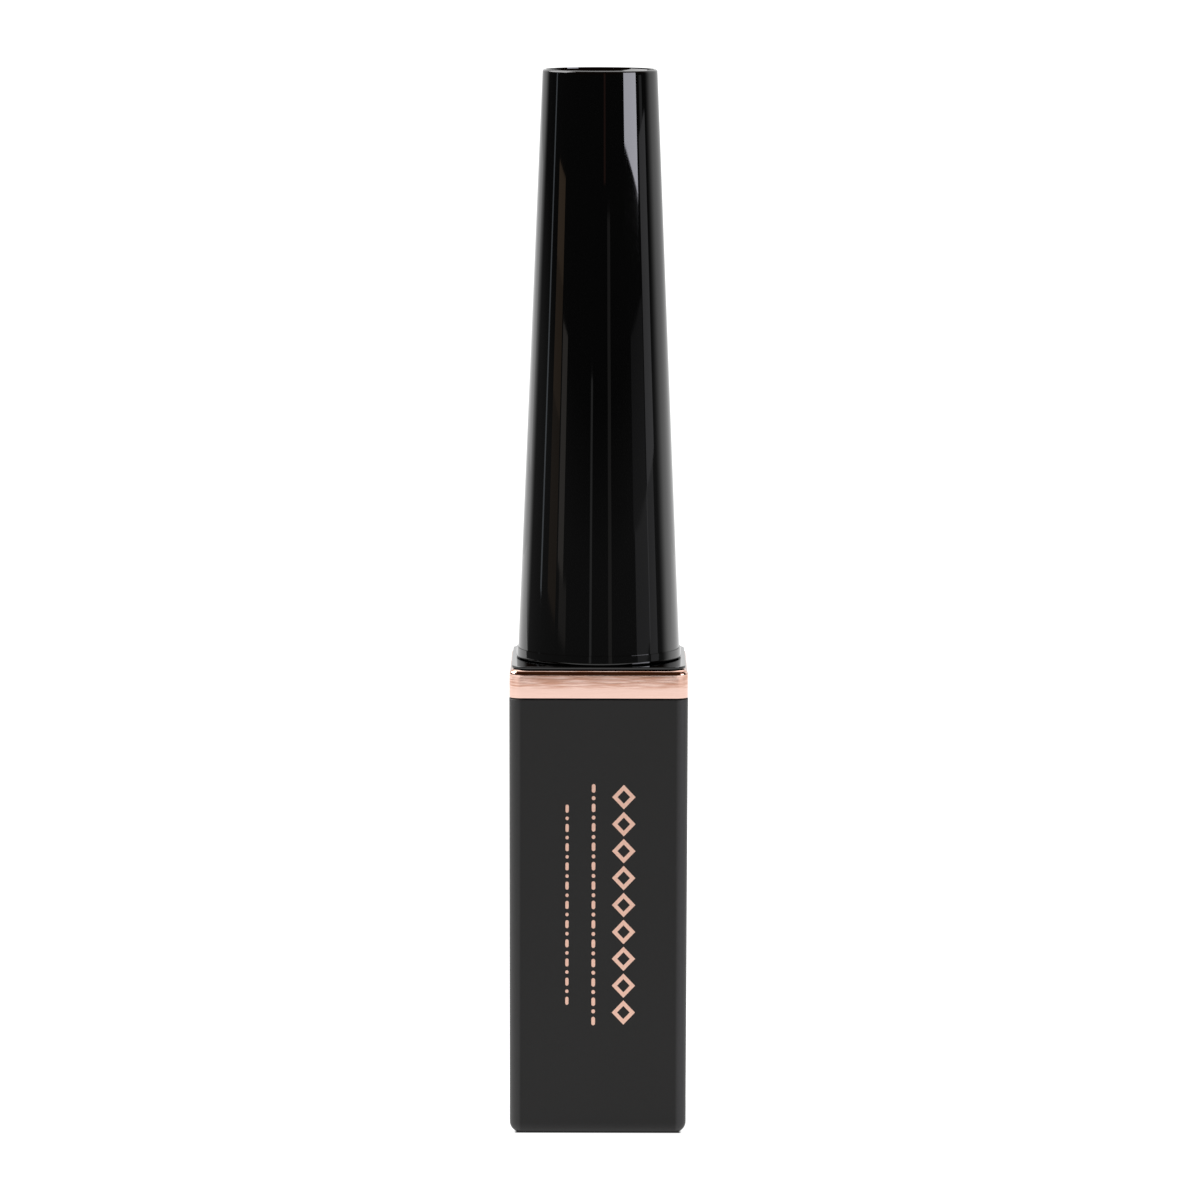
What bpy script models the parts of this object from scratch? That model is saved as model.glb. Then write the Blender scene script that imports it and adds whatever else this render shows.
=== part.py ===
"""Liquid eyeliner bottle: a square casing round a vial, a metallised collar, and a tall cap with a brush.

Metres, +Z up. The origin is the middle of the foot, and the front looks along -Y.
Every piece is built about its own seat on the bottle's axis, which the cap turns about too.
"""

import math

import bmesh
import bpy
from mathutils import Matrix, Vector

# Gaps between pieces
SEAM = 0.0001
SEAT_GAP = 0.0001
FIT = 0.0001
THREAD_PLAY = 0.00015
VIAL_PLAY = 0.0002

# Outer casing
CASE_WIDTH = 0.0165
CASE_HEIGHT = 0.0407
CASE_DRAFT = 0.00008
CASE_CORNER = 0.0011
CASE_FOOT_FILLET_SHARE = 0.9
CASE_WALL = 0.0012
CASE_FLOOR = 0.0014
CASE_POCKET_CORNER = 0.0005
CASE_EDGE_BREAK = 0.00008
FOOT_RIM = 0.0024
FOOT_RECESS = 0.0004
FOOT_RECESS_CORNER = 0.0008

# Collar ring
COLLAR_HEIGHT = 0.00255
COLLAR_TOP_FILLET = 0.0005
COLLAR_EDGE_BREAK = 0.00006
COLLAR_SPIGOT = 0.0019
COLLAR_WALL = 0.001

# Shoulder cover
COVER_INSET = 0.0002
COVER_CORNER = 0.0016
COVER_LIP = 0.00025
COVER_EDGE = 0.0001
COVER_PLUG = 0.0021

# Inner vial
VIAL_WALL = 0.001
VIAL_FLOOR = 0.0012
VIAL_FOOT_FILLET = 0.0008
VIAL_SHOULDER_FILLET = 0.0014
VIAL_INNER_FILLET = 0.0006
VIAL_FLANGE = 0.0008
VIAL_FLANGE_INSET = 0.0005
VIAL_LUG_COUNT = 4
VIAL_LUG_WIDTH = 0.0014
VIAL_LUG_GRIP = 0.0006
NECK_PLAIN = 0.0012
NECK_RISE = 0.0088
NECK_WALL = 0.0009
NECK_EDGE = 0.00025
NECK_RADIUS_SHARE = 0.7227
THREAD_DEPTH = 0.0004

# Neck wiper
WIPER_FLANGE = 0.0005
WIPER_FLANGE_INSET = 0.0002
WIPER_WALL = 0.0005
WIPER_DEPTH = 0.0055
WIPER_CONE = 0.0028
WIPER_LIP = 0.0004

# Cap shell
CAP_HEIGHT = 0.0545
CAP_SETBACK = 0.0007
CAP_TOP_RADIUS = 0.0053
CAP_FLARE = 0.00012
CAP_FLARE_HEIGHT = 0.00085
CAP_TOP_FILLET = 0.0002
CAP_RIM = 0.0002
CAP_DISH = 0.0005
CAP_FOOT_BREAK = 0.00008
CAP_WALL = 0.0012
CAP_CEILING = 0.001
CAP_CEILING_FILLET = 0.0006

# Inner cap
LINER_INSET = 0.0005
LINER_WALL = 0.0009
LINER_DECK = 0.0012
LINER_LEAD_IN = 0.0003
LINER_EDGE = 0.0003
LINER_SOCKET = 0.005
LINER_SOCKET_WALL = 0.0008
RIB_COUNT = 8
RIB_THICKNESS = 0.0007
RIB_FOOT_GAP = 0.0005
RIB_ROOT = 0.0003

# Seal washer
WASHER_THICKNESS = 0.001

# Applicator rod
ROD_RADIUS = 0.0013
ROD_HEAD_RADIUS = 0.00255
ROD_HEAD_HEIGHT = 0.0046
ROD_HEAD_EDGE = 0.0003
ROD_BARB_COUNT = 3
ROD_BARB_DEPTH = 0.00015
ROD_BARB_PITCH = 0.0011
ROD_SPIGOT = 0.002
ROD_EDGE = 0.0002

# Brush ferrule
FERRULE_RADIUS = 0.0011
FERRULE_WALL = 0.0003
FERRULE_LENGTH = 0.0042
FERRULE_CRIMP_DEPTH = 0.00008
FERRULE_CRIMP_WIDTH = 0.0005
FERRULE_CRIMP_SHARES = (0.3, 0.72)

# Brush tip
BRUSH_LENGTH = 0.007
BRUSH_BELLY = 0.00006
BRUSH_POINT = 0.00005
BRUSH_BELLY_SHARE = 0.22
BRUSH_SLIM_SHARE = 0.25
TIP_GAP = 0.0052

# Cutters run past what they cut by this much, and joined shapes overlap by it
OVERRUN = 0.0005
MERGE = 0.000001
EIGHTH_TURN = math.tau / 8

LARGE_STEPS = 72
MEDIUM_STEPS = 48
SMALL_STEPS = 32
CORNER_STEPS = 8
FILLET_STEPS = 4
BRUSH_STEPS = 9
SHARP_ANGLE = math.radians(32)

# Radii, worked from the casing inwards
case_half = CASE_WIDTH / 2
foot_fillet = CASE_CORNER * CASE_FOOT_FILLET_SHARE
pocket_half = case_half - CASE_WALL
spigot_half = pocket_half - FIT
collar_bore = spigot_half - COLLAR_WALL
vial_radius = pocket_half - VIAL_PLAY
vial_bore = vial_radius - VIAL_WALL
flange_radius = collar_bore - VIAL_FLANGE_INSET
neck_radius = collar_bore * NECK_RADIUS_SHARE
neck_core = neck_radius - THREAD_DEPTH
neck_bore = neck_core - NECK_WALL
wiper_radius = neck_bore - FIT
rod_hole = ROD_RADIUS + FIT
liner_bore = neck_radius + THREAD_PLAY
liner_radius = liner_bore + LINER_WALL
socket_bore = ROD_HEAD_RADIUS + FIT
ferrule_bore = FERRULE_RADIUS - FERRULE_WALL
spigot_radius = ferrule_bore - FIT
cap_foot_radius = case_half - CAP_SETBACK

# Heights of the seats, worked from the foot upwards
collar_z = CASE_HEIGHT + SEAM
cover_z = collar_z + COLLAR_HEIGHT + SEAM
cover_top_z = cover_z + COVER_LIP
cap_z = cover_top_z + SEAM
vial_z = CASE_FLOOR + SEAT_GAP
vial_shoulder_z = collar_z - COLLAR_SPIGOT - SEAT_GAP
vial_flange_z = cover_z - COVER_PLUG - SEAT_GAP
neck_top_z = cover_top_z + NECK_RISE
wiper_z = neck_top_z + SEAT_GAP
washer_z = wiper_z + WIPER_FLANGE + SEAT_GAP
deck_z = washer_z + WASHER_THICKNESS + SEAT_GAP
deck_top_z = deck_z + LINER_DECK
liner_z = cap_z + LINER_INSET
head_z = deck_top_z + SEAT_GAP
brush_z = vial_z + VIAL_FLOOR + TIP_GAP
ferrule_z = brush_z + BRUSH_LENGTH
rod_z = ferrule_z + FERRULE_LENGTH + SEAT_GAP
brush_root = FERRULE_LENGTH - ROD_SPIGOT - SEAT_GAP
lug_reach = collar_bore + VIAL_LUG_GRIP

# Colour (sRGB hex), roughness and metallic value of each material
FINISHES = {
    "soft_touch_black": ("2B2B2B", 0.62, 0.0),
    "gloss_black": ("050505", 0.07, 0.0),
    "rose_gold_metallised": ("E5B8A4", 0.12, 1.0),
    "natural_polypropylene": ("DCDDD8", 0.38, 0.0),
    "natural_polyethylene": ("E9E8E2", 0.45, 0.0),
    "white_foam": ("E6E3DC", 0.9, 0.0),
    "black_rod_plastic": ("141414", 0.3, 0.0),
    "steel_ferrule": ("B9BABC", 0.28, 1.0),
    "black_bristle": ("0B0A0A", 0.55, 0.0),
}


def clear_scene():
    for obj in list(bpy.data.objects):
        bpy.data.objects.remove(obj, do_unlink=True)


def new_collection(name):
    made = bpy.data.collections.new(name)
    bpy.context.scene.collection.children.link(made)
    return made


def linear(channel):
    """One sRGB channel, 0 to 1, as linear light."""
    if channel <= 0.04045:
        return channel / 12.92
    return ((channel + 0.055) / 1.055) ** 2.4


def make_material(name):
    colour, roughness, metallic = FINISHES[name]
    channels = [linear(int(colour[i : i + 2], 16) / 255) for i in (0, 2, 4)]
    made = bpy.data.materials.new(name)
    made.use_nodes = True
    shader = made.node_tree.nodes["Principled BSDF"]
    shader.inputs["Base Color"].default_value = (*channels, 1)
    shader.inputs["Roughness"].default_value = roughness
    shader.inputs["Metallic"].default_value = metallic
    made.diffuse_color = (*channels, 1)
    return made


def add_object(name, mesh, collection):
    obj = bpy.data.objects.new(name, mesh)
    collection.objects.link(obj)
    return obj


def arc(radius_at, height_at, radius, start, end, steps=FILLET_STEPS):
    """Profile points on an arc about (radius_at, height_at), from one angle in degrees to another."""
    angles = [math.radians(start + (end - start) * i / steps) for i in range(steps + 1)]
    return [(radius_at + radius * math.cos(a), height_at + radius * math.sin(a)) for a in angles]


def turned(name, profile, steps, collection):
    """Turns a profile of (radius, height) about Z. It closes on itself unless its ends lie on the axis."""
    bm = bmesh.new()
    corners = [bm.verts.new((radius, 0, height)) for radius, height in profile]
    for first, second in zip(corners, corners[1:]):
        bm.edges.new((first, second))
    if profile[0][0] > 0:
        bm.edges.new((corners[-1], corners[0]))
    mesh = bpy.data.meshes.new(name)
    bm.to_mesh(mesh)
    bm.free()
    obj = add_object(name, mesh, collection)
    screw = obj.modifiers.new("Turn", "SCREW")
    screw.steps = steps
    screw.render_steps = steps
    screw.use_merge_vertices = True
    screw.merge_threshold = MERGE
    return obj


def bevel_rim(bm, direction, width, steps):
    """Rounds the edges of the end face that looks up (1) or down (-1)."""
    end = max(bm.faces, key=lambda face: face.normal.z * direction)
    bmesh.ops.bevel(
        bm, geom=list(end.edges), offset=width, segments=steps, profile=0.5, affect="EDGES"
    )


def square_block(name, half, height, corner, collection, draft=0, top=0, bottom=0):
    """An upright block with rounded corners, its foot at height zero. Draft narrows its foot."""
    bm = bmesh.new()
    bmesh.ops.create_cube(bm, size=1)
    for vertex in bm.verts:
        upper = vertex.co.z > 0
        reach = half if upper else half - draft
        vertex.co.x = math.copysign(reach, vertex.co.x)
        vertex.co.y = math.copysign(reach, vertex.co.y)
        vertex.co.z = height if upper else 0
    bm.normal_update()
    upright = [edge for edge in bm.edges if edge.verts[0].co.z != edge.verts[1].co.z]
    bmesh.ops.bevel(
        bm, geom=upright, offset=corner, segments=CORNER_STEPS, profile=0.5, affect="EDGES"
    )
    bm.normal_update()
    if top:
        bevel_rim(bm, 1, top, FILLET_STEPS)
        bm.normal_update()
    if bottom:
        bevel_rim(bm, -1, bottom, FILLET_STEPS)
    mesh = bpy.data.meshes.new(name)
    bm.to_mesh(mesh)
    bm.free()
    return add_object(name, mesh, collection)


def helper(obj, height=0):
    """Marks an object as a cutter or a piece to join, at its height above the seat."""
    obj.hide_render = True
    obj.display_type = "WIRE"
    obj.location.z = height
    return obj


def combine(obj, other, operation):
    step = obj.modifiers.new(other.name, "BOOLEAN")
    step.operation = operation
    step.solver = "EXACT"
    step.object = other


def settle(obj, material, seat, parent):
    """Makes the modifiers' result the object's own mesh, shades it, and seats it on its parent's axis."""
    graph = bpy.context.evaluated_depsgraph_get()
    mesh = bpy.data.meshes.new_from_object(obj.evaluated_get(graph))
    mesh.name = obj.name
    obj.modifiers.clear()
    obj.data = mesh
    mesh.shade_smooth()
    mesh.set_sharp_from_angle(angle=SHARP_ANGLE)
    mesh.materials.clear()
    mesh.materials.append(material)
    obj.parent = parent
    obj.location.z = seat
    return obj


def spokes(name, count, first_angle, root, reaches, thickness, heights, helpers):
    """Blades round the axis, from a root radius out to one reach at their foot and another at their top."""
    bm = bmesh.new()
    bmesh.ops.create_cube(bm, size=1)
    for vertex in bm.verts:
        level = int(vertex.co.z > 0)
        outward = vertex.co.x > 0
        vertex.co.x = reaches[level] if outward else root
        vertex.co.y = math.copysign(thickness / 2, vertex.co.y)
        vertex.co.z = heights[level]
    blade = [*bm.verts, *bm.edges, *bm.faces]
    first = Matrix.Rotation(first_angle, 3, "Z")
    bmesh.ops.rotate(bm, verts=list(bm.verts), cent=Vector(), matrix=first)
    for i in range(1, count):
        copied = bmesh.ops.duplicate(bm, geom=blade)["geom"]
        corners = [item for item in copied if isinstance(item, bmesh.types.BMVert)]
        turn = Matrix.Rotation(math.tau * i / count, 3, "Z")
        bmesh.ops.rotate(bm, verts=corners, cent=Vector(), matrix=turn)
    mesh = bpy.data.meshes.new(name)
    bm.to_mesh(mesh)
    bm.free()
    return helper(add_object(name, mesh, helpers))


def cap_radius(height):
    """Outer radius of the cap's cone at a height above its foot."""
    return cap_foot_radius + (CAP_TOP_RADIUS - cap_foot_radius) * height / CAP_HEIGHT


def outer_casing(parts, helpers):
    """Moulded square case, open at the top, with draft, a rounded foot and a shallow recess under it."""
    case = square_block(
        "outer_casing", case_half, CASE_HEIGHT, CASE_CORNER, parts,
        draft=CASE_DRAFT, top=CASE_EDGE_BREAK, bottom=foot_fillet,
    )
    pocket_height = CASE_HEIGHT - CASE_FLOOR + OVERRUN
    pocket = square_block(
        "casing_pocket", pocket_half, pocket_height, CASE_POCKET_CORNER, helpers
    )
    combine(case, helper(pocket, CASE_FLOOR), "DIFFERENCE")
    recess_half = case_half - CASE_DRAFT - FOOT_RIM
    recess = square_block(
        "casing_foot_recess", recess_half, FOOT_RECESS + OVERRUN, FOOT_RECESS_CORNER, helpers
    )
    combine(case, helper(recess, -OVERRUN), "DIFFERENCE")
    return case


def inner_vial(parts, helpers):
    """Round vial on the casing's floor. Its flange holds it down, and the lugs stop it from turning."""
    shoulder = vial_shoulder_z - vial_z
    flange = vial_flange_z - vial_z
    plain = cover_top_z + NECK_PLAIN - vial_z
    top = neck_top_z - vial_z
    ceiling = shoulder - VIAL_WALL
    profile = [(0, VIAL_FLOOR)]
    profile += arc(vial_bore - VIAL_INNER_FILLET, VIAL_FLOOR + VIAL_INNER_FILLET, VIAL_INNER_FILLET, -90, 0)
    profile += arc(vial_bore - VIAL_INNER_FILLET, ceiling - VIAL_INNER_FILLET, VIAL_INNER_FILLET, 0, 90)
    profile += [(neck_bore, ceiling), (neck_bore, top)]
    profile += arc(neck_core - NECK_EDGE, top - NECK_EDGE, NECK_EDGE, 90, 0)
    profile += [(neck_core, plain), (neck_radius, plain - THREAD_DEPTH), (neck_radius, flange)]
    profile += [(flange_radius, flange), (flange_radius, flange - VIAL_FLANGE)]
    profile += [(neck_radius, flange - VIAL_FLANGE), (neck_radius, shoulder)]
    profile += arc(
        vial_radius - VIAL_SHOULDER_FILLET, shoulder - VIAL_SHOULDER_FILLET, VIAL_SHOULDER_FILLET, 90, 0
    )
    profile += arc(vial_radius - VIAL_FOOT_FILLET, VIAL_FOOT_FILLET, VIAL_FOOT_FILLET, 0, -90)
    profile += [(0, 0)]
    vial = turned("inner_vial", profile, MEDIUM_STEPS, parts)
    lugs = spokes(
        "vial_lugs", VIAL_LUG_COUNT, EIGHTH_TURN, neck_radius, (lug_reach, lug_reach),
        VIAL_LUG_WIDTH, (flange - VIAL_FLANGE, flange), helpers,
    )
    combine(vial, lugs, "UNION")
    return vial


def collar_ring(parts, helpers):
    """Metallised band on the casing's mouth, with a spigot in it and slots in its bore for the lugs."""
    ring = square_block(
        "collar_ring", case_half, COLLAR_HEIGHT, CASE_CORNER, parts,
        top=COLLAR_TOP_FILLET, bottom=COLLAR_EDGE_BREAK,
    )
    spigot = square_block(
        "collar_spigot", spigot_half, COLLAR_SPIGOT + OVERRUN, CASE_POCKET_CORNER, helpers
    )
    combine(ring, helper(spigot, -COLLAR_SPIGOT), "UNION")
    bore_height = COLLAR_SPIGOT + COLLAR_HEIGHT + OVERRUN
    bore = turned("collar_bore", cylinder(collar_bore, bore_height + OVERRUN), MEDIUM_STEPS, helpers)
    combine(ring, helper(bore, -COLLAR_SPIGOT - OVERRUN), "DIFFERENCE")
    slot_reach = lug_reach + FIT
    slot_top = vial_flange_z + SEAT_GAP - collar_z
    slots = spokes(
        "lug_slots", VIAL_LUG_COUNT, EIGHTH_TURN, neck_radius, (slot_reach, slot_reach),
        VIAL_LUG_WIDTH + FIT + FIT, (-COLLAR_SPIGOT - OVERRUN, slot_top), helpers,
    )
    combine(ring, slots, "DIFFERENCE")
    return ring


def cylinder(radius, height):
    """Profile of a plain cylinder that stands on its seat."""
    return [(0, height), (radius, height), (radius, 0), (0, 0)]


def shoulder_cover(parts, helpers):
    """Gloss plate that the cap stands on: a thin square lip over the collar, and a round plug inside it."""
    cover = square_block(
        "shoulder_cover", case_half - COVER_INSET, COVER_LIP, COVER_CORNER, parts, top=COVER_EDGE
    )
    plug_overlap = COVER_LIP / 2
    plug = turned(
        "cover_plug", cylinder(collar_bore - FIT, COVER_PLUG + plug_overlap), MEDIUM_STEPS, helpers
    )
    combine(cover, helper(plug, -COVER_PLUG), "UNION")
    hole_height = COVER_PLUG + COVER_LIP + OVERRUN + OVERRUN
    hole = turned(
        "cover_hole", cylinder(neck_radius + THREAD_PLAY, hole_height), MEDIUM_STEPS, helpers
    )
    combine(cover, helper(hole, -COVER_PLUG - OVERRUN), "DIFFERENCE")
    return cover


def neck_wiper(parts):
    """Soft plug in the neck. Its cone ends in a lip round the rod."""
    inner = wiper_radius - WIPER_WALL
    lip = -WIPER_DEPTH
    cone = lip + WIPER_CONE
    profile = [
        (inner, WIPER_FLANGE),
        (neck_core - WIPER_FLANGE_INSET, WIPER_FLANGE),
        (neck_core - WIPER_FLANGE_INSET, 0),
        (wiper_radius, 0),
        (wiper_radius, cone),
        (rod_hole + WIPER_WALL, lip),
        (rod_hole, lip),
        (rod_hole, lip + WIPER_LIP),
        (inner, cone + WIPER_LIP),
    ]
    return turned("neck_wiper", profile, SMALL_STEPS, parts)


def cap_shell(parts):
    """Tall hollow cone, flared at its foot, with a dished top inside a narrow rim."""
    top_radius = cap_radius(CAP_HEIGHT)
    rim = top_radius - CAP_TOP_FILLET - CAP_RIM
    ceiling = CAP_HEIGHT - CAP_DISH - CAP_CEILING
    profile = [(0, CAP_HEIGHT - CAP_DISH)]
    profile += arc(rim - CAP_DISH, CAP_HEIGHT, CAP_DISH, -90, 0)
    profile += arc(top_radius - CAP_TOP_FILLET, CAP_HEIGHT - CAP_TOP_FILLET, CAP_TOP_FILLET, 90, 0)
    for i in range(FILLET_STEPS):
        share = i / FILLET_STEPS
        height = CAP_FLARE_HEIGHT + (CAP_FOOT_BREAK - CAP_FLARE_HEIGHT) * share
        profile.append((cap_radius(height) + CAP_FLARE * share**2, height))
    foot = cap_foot_radius + CAP_FLARE
    profile += [(foot, CAP_FOOT_BREAK), (foot - CAP_FOOT_BREAK, 0)]
    profile += [(cap_radius(0) - CAP_WALL, 0)]
    profile += arc(
        cap_radius(ceiling) - CAP_WALL - CAP_CEILING_FILLET, ceiling - CAP_CEILING_FILLET,
        CAP_CEILING_FILLET, 0, 90,
    )
    profile += [(0, ceiling)]
    return turned("cap_shell", profile, LARGE_STEPS, parts)


def liner_ribs(bottom, top, helpers):
    """The liner's ribs, each out to the cap's tapered inner wall."""
    reaches = [cap_radius(liner_z - cap_z + height) - CAP_WALL - FIT for height in (bottom, top)]
    return spokes(
        "liner_ribs", RIB_COUNT, 0, liner_radius - RIB_ROOT, reaches, RIB_THICKNESS, (bottom, top), helpers
    )


def inner_cap(parts, helpers):
    """Liner of the cap: a skirt that screws onto the neck, a deck, and a socket for the rod's head."""
    deck = deck_z - liner_z
    top = deck_top_z - liner_z
    socket = top + LINER_SOCKET
    outer_socket = socket_bore + LINER_SOCKET_WALL
    profile = [(rod_hole, top), (socket_bore, top), (socket_bore, socket)]
    profile += [(outer_socket, socket), (outer_socket, top)]
    profile += arc(liner_radius - LINER_EDGE, top - LINER_EDGE, LINER_EDGE, 90, 0)
    profile += [(liner_radius, 0), (liner_bore + LINER_LEAD_IN, 0), (liner_bore, LINER_LEAD_IN)]
    profile += [(liner_bore, deck), (rod_hole, deck)]
    liner = turned("inner_cap", profile, MEDIUM_STEPS, parts)
    combine(liner, liner_ribs(RIB_FOOT_GAP, top - LINER_EDGE, helpers), "UNION")
    return liner


def seal_washer(parts):
    """Foam washer between the liner's deck and the wiper's flange."""
    outer = liner_bore - FIT
    profile = [(rod_hole, WASHER_THICKNESS), (outer, WASHER_THICKNESS), (outer, 0), (rod_hole, 0)]
    return turned("seal_washer", profile, SMALL_STEPS, parts)


def applicator_rod(parts):
    """Rod with a barbed head in the liner's socket. Its seat is the shoulder over the ferrule."""
    shoulder = head_z - rod_z
    top = shoulder + ROD_HEAD_HEIGHT
    profile = [(0, top), (ROD_HEAD_RADIUS - ROD_HEAD_EDGE, top), (ROD_HEAD_RADIUS, top - ROD_HEAD_EDGE)]
    for i in range(1, ROD_BARB_COUNT + 1):
        barb = top - ROD_HEAD_EDGE - ROD_BARB_PITCH * i
        profile += [(ROD_HEAD_RADIUS - ROD_BARB_DEPTH, barb), (ROD_HEAD_RADIUS, barb)]
    profile += [(ROD_HEAD_RADIUS, shoulder), (ROD_RADIUS, shoulder)]
    profile += [(ROD_RADIUS, ROD_EDGE), (ROD_RADIUS - ROD_EDGE, 0)]
    profile += [(spigot_radius, 0), (spigot_radius, -ROD_SPIGOT), (0, -ROD_SPIGOT)]
    return turned("applicator_rod", profile, SMALL_STEPS, parts)


def brush_ferrule(parts):
    """Thin sleeve with two crimps, one on the rod's spigot and one on the brush."""
    profile = [(ferrule_bore, FERRULE_LENGTH), (FERRULE_RADIUS, FERRULE_LENGTH)]
    for share in reversed(FERRULE_CRIMP_SHARES):
        middle = FERRULE_LENGTH * share
        profile += [
            (FERRULE_RADIUS, middle + FERRULE_CRIMP_WIDTH / 2),
            (FERRULE_RADIUS - FERRULE_CRIMP_DEPTH, middle),
            (FERRULE_RADIUS, middle - FERRULE_CRIMP_WIDTH / 2),
        ]
    profile += [(FERRULE_RADIUS, 0), (ferrule_bore, 0)]
    return turned("brush_ferrule", profile, SMALL_STEPS, parts)


def brush_tip(parts):
    """Bundle of fibres: a root in the ferrule, a slight belly, and a fine point, which is its seat."""
    top = BRUSH_LENGTH + brush_root
    profile = [(0, top), (spigot_radius, top), (spigot_radius, BRUSH_LENGTH)]
    for i in range(1, BRUSH_STEPS + 1):
        share = i / BRUSH_STEPS
        swell = BRUSH_BELLY * math.sin(math.pi * min(share / 2 / BRUSH_BELLY_SHARE, 1))
        taper = max(share - BRUSH_BELLY_SHARE, 0) / (1 - BRUSH_BELLY_SHARE)
        slim = math.sqrt(1 - taper) * (1 - taper * BRUSH_SLIM_SHARE)
        radius = BRUSH_POINT + (spigot_radius - BRUSH_POINT) * slim
        profile.append((radius + swell, BRUSH_LENGTH * (1 - share)))
    profile += [(0, 0)]
    return turned("brush_tip", profile, SMALL_STEPS, parts)


def build():
    clear_scene()
    parts = new_collection("eyeliner_bottle")
    helpers = new_collection("cutters")
    axis = {name: add_object(name, None, parts) for name in ("bottle_axis", "wand_axis", "cap_axis")}
    finish = {name: make_material(name) for name in FINISHES}

    bottle = axis["bottle_axis"]
    settle(outer_casing(parts, helpers), finish["soft_touch_black"], 0, bottle)
    settle(inner_vial(parts, helpers), finish["natural_polypropylene"], vial_z, bottle)
    settle(collar_ring(parts, helpers), finish["rose_gold_metallised"], collar_z, bottle)
    settle(shoulder_cover(parts, helpers), finish["gloss_black"], cover_z, bottle)
    settle(neck_wiper(parts), finish["natural_polyethylene"], wiper_z, bottle)

    wand = axis["wand_axis"]
    wand.parent = bottle
    settle(applicator_rod(parts), finish["black_rod_plastic"], rod_z, wand)
    settle(brush_ferrule(parts), finish["steel_ferrule"], ferrule_z, wand)
    settle(brush_tip(parts), finish["black_bristle"], brush_z, wand)

    cap = axis["cap_axis"]
    cap.parent = wand
    settle(cap_shell(parts), finish["gloss_black"], cap_z, cap)
    settle(inner_cap(parts, helpers), finish["natural_polypropylene"], liner_z, cap)
    settle(seal_washer(parts), finish["white_foam"], washer_z, cap)


build()
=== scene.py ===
# %% [markdown]
# # A liquid eyeliner bottle, dressed for its picture
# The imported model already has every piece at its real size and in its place. This lesson gives each
# piece the surface that it has on the real object, adds the fine forms that are too small for the packed
# solids, such as the screw thread and the fibres of the brush, and lights the whole like a small product.

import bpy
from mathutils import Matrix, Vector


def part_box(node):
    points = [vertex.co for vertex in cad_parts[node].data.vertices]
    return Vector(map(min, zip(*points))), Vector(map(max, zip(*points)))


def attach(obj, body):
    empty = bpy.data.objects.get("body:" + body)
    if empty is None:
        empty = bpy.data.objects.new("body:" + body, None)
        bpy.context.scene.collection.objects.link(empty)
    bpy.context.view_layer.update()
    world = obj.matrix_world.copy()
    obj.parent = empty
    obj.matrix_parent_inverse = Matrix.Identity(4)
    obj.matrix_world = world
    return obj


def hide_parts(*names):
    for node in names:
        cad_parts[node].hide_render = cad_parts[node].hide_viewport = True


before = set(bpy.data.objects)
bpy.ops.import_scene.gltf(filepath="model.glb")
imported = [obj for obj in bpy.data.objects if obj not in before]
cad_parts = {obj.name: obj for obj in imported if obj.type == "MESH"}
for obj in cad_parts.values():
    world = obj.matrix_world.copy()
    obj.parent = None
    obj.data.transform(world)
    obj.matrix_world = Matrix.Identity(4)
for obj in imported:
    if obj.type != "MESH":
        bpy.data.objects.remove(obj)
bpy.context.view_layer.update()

# %% [markdown]
# ## Helpers that every piece needs
# Blender works in metres, so sizes below are written in millimetres times `MM`. Colours are written as
# the hex values that a designer reads off a chart. Those are sRGB, while a renderer adds up light, which
# is linear, so one function turns the first into the second.

# %% Units and colours
import math
import random

import bmesh
import bpy
from mathutils import Matrix, Vector

MM = 0.001


def linear(hex_colour):
    """A chart colour such as 2B2B2B as linear red, green, blue and alpha."""
    channels = [int(hex_colour[i : i + 2], 16) / 255 for i in (0, 2, 4)]
    return (*[c / 12.92 if c <= 0.04045 else ((c + 0.055) / 1.055) ** 2.4 for c in channels], 1)


def per_mm(size_mm):
    """Scale of a texture whose features are that many millimetres apart."""
    return 1 / (size_mm * MM)


print("mid grey 808080 is", round(linear("808080")[0], 3), "of white light")

# %% [markdown]
# A material is a small graph of nodes. One function adds a node, sets it and links it, so each finish
# below reads as a list of what is layered on what. Two short chains of nodes come back in several
# finishes, so they have functions too: noise that is drawn out along an axis, and the question how far
# a point is from the bottle's axis.

# %% Nodes and materials


def add_node(tree, kind, settings=None, inputs=None):
    """Adds a node. An input is a value, or the output socket of another node."""
    made = tree.nodes.new(kind)
    for name, value in (settings or {}).items():
        setattr(made, name, value)
    for name, value in (inputs or {}).items():
        if isinstance(value, bpy.types.NodeSocket):
            tree.links.new(value, made.inputs[name])
        else:
            made.inputs[name].default_value = value
    return made


def new_material(name):
    """An empty material. Returns it and its tree of nodes."""
    made = bpy.data.materials.new(name)
    made.use_nodes = True
    made.node_tree.nodes.clear()
    return made, made.node_tree


def finish_surface(tree, shader):
    add_node(tree, "ShaderNodeOutputMaterial", {}, {"Surface": shader.outputs["BSDF"]})


def stretched_noise(tree, place, sizes_mm, inputs):
    """Noise whose features have a size of their own along each axis."""
    stretch = add_node(tree, "ShaderNodeVectorMath", {"operation": "MULTIPLY"}, {
        "Vector": place, "Vector_001": [per_mm(size) for size in sizes_mm]})
    return add_node(tree, "ShaderNodeTexNoise", {}, {
        "Vector": stretch.outputs["Vector"], "Scale": 1.0, **inputs})


def compare_sides(tree, place, operation):
    """The smaller or the larger of a point's two level distances from the axis, |x| and |y|."""
    axes = add_node(tree, "ShaderNodeSeparateXYZ", {}, {"Vector": place})
    across, deep = [
        add_node(tree, "ShaderNodeMath", {"operation": "ABSOLUTE"}, {0: axes.outputs[name]}) for name in "XY"
    ]
    return add_node(tree, "ShaderNodeMath", {"operation": operation}, {
        0: across.outputs["Value"], 1: deep.outputs["Value"]})


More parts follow.
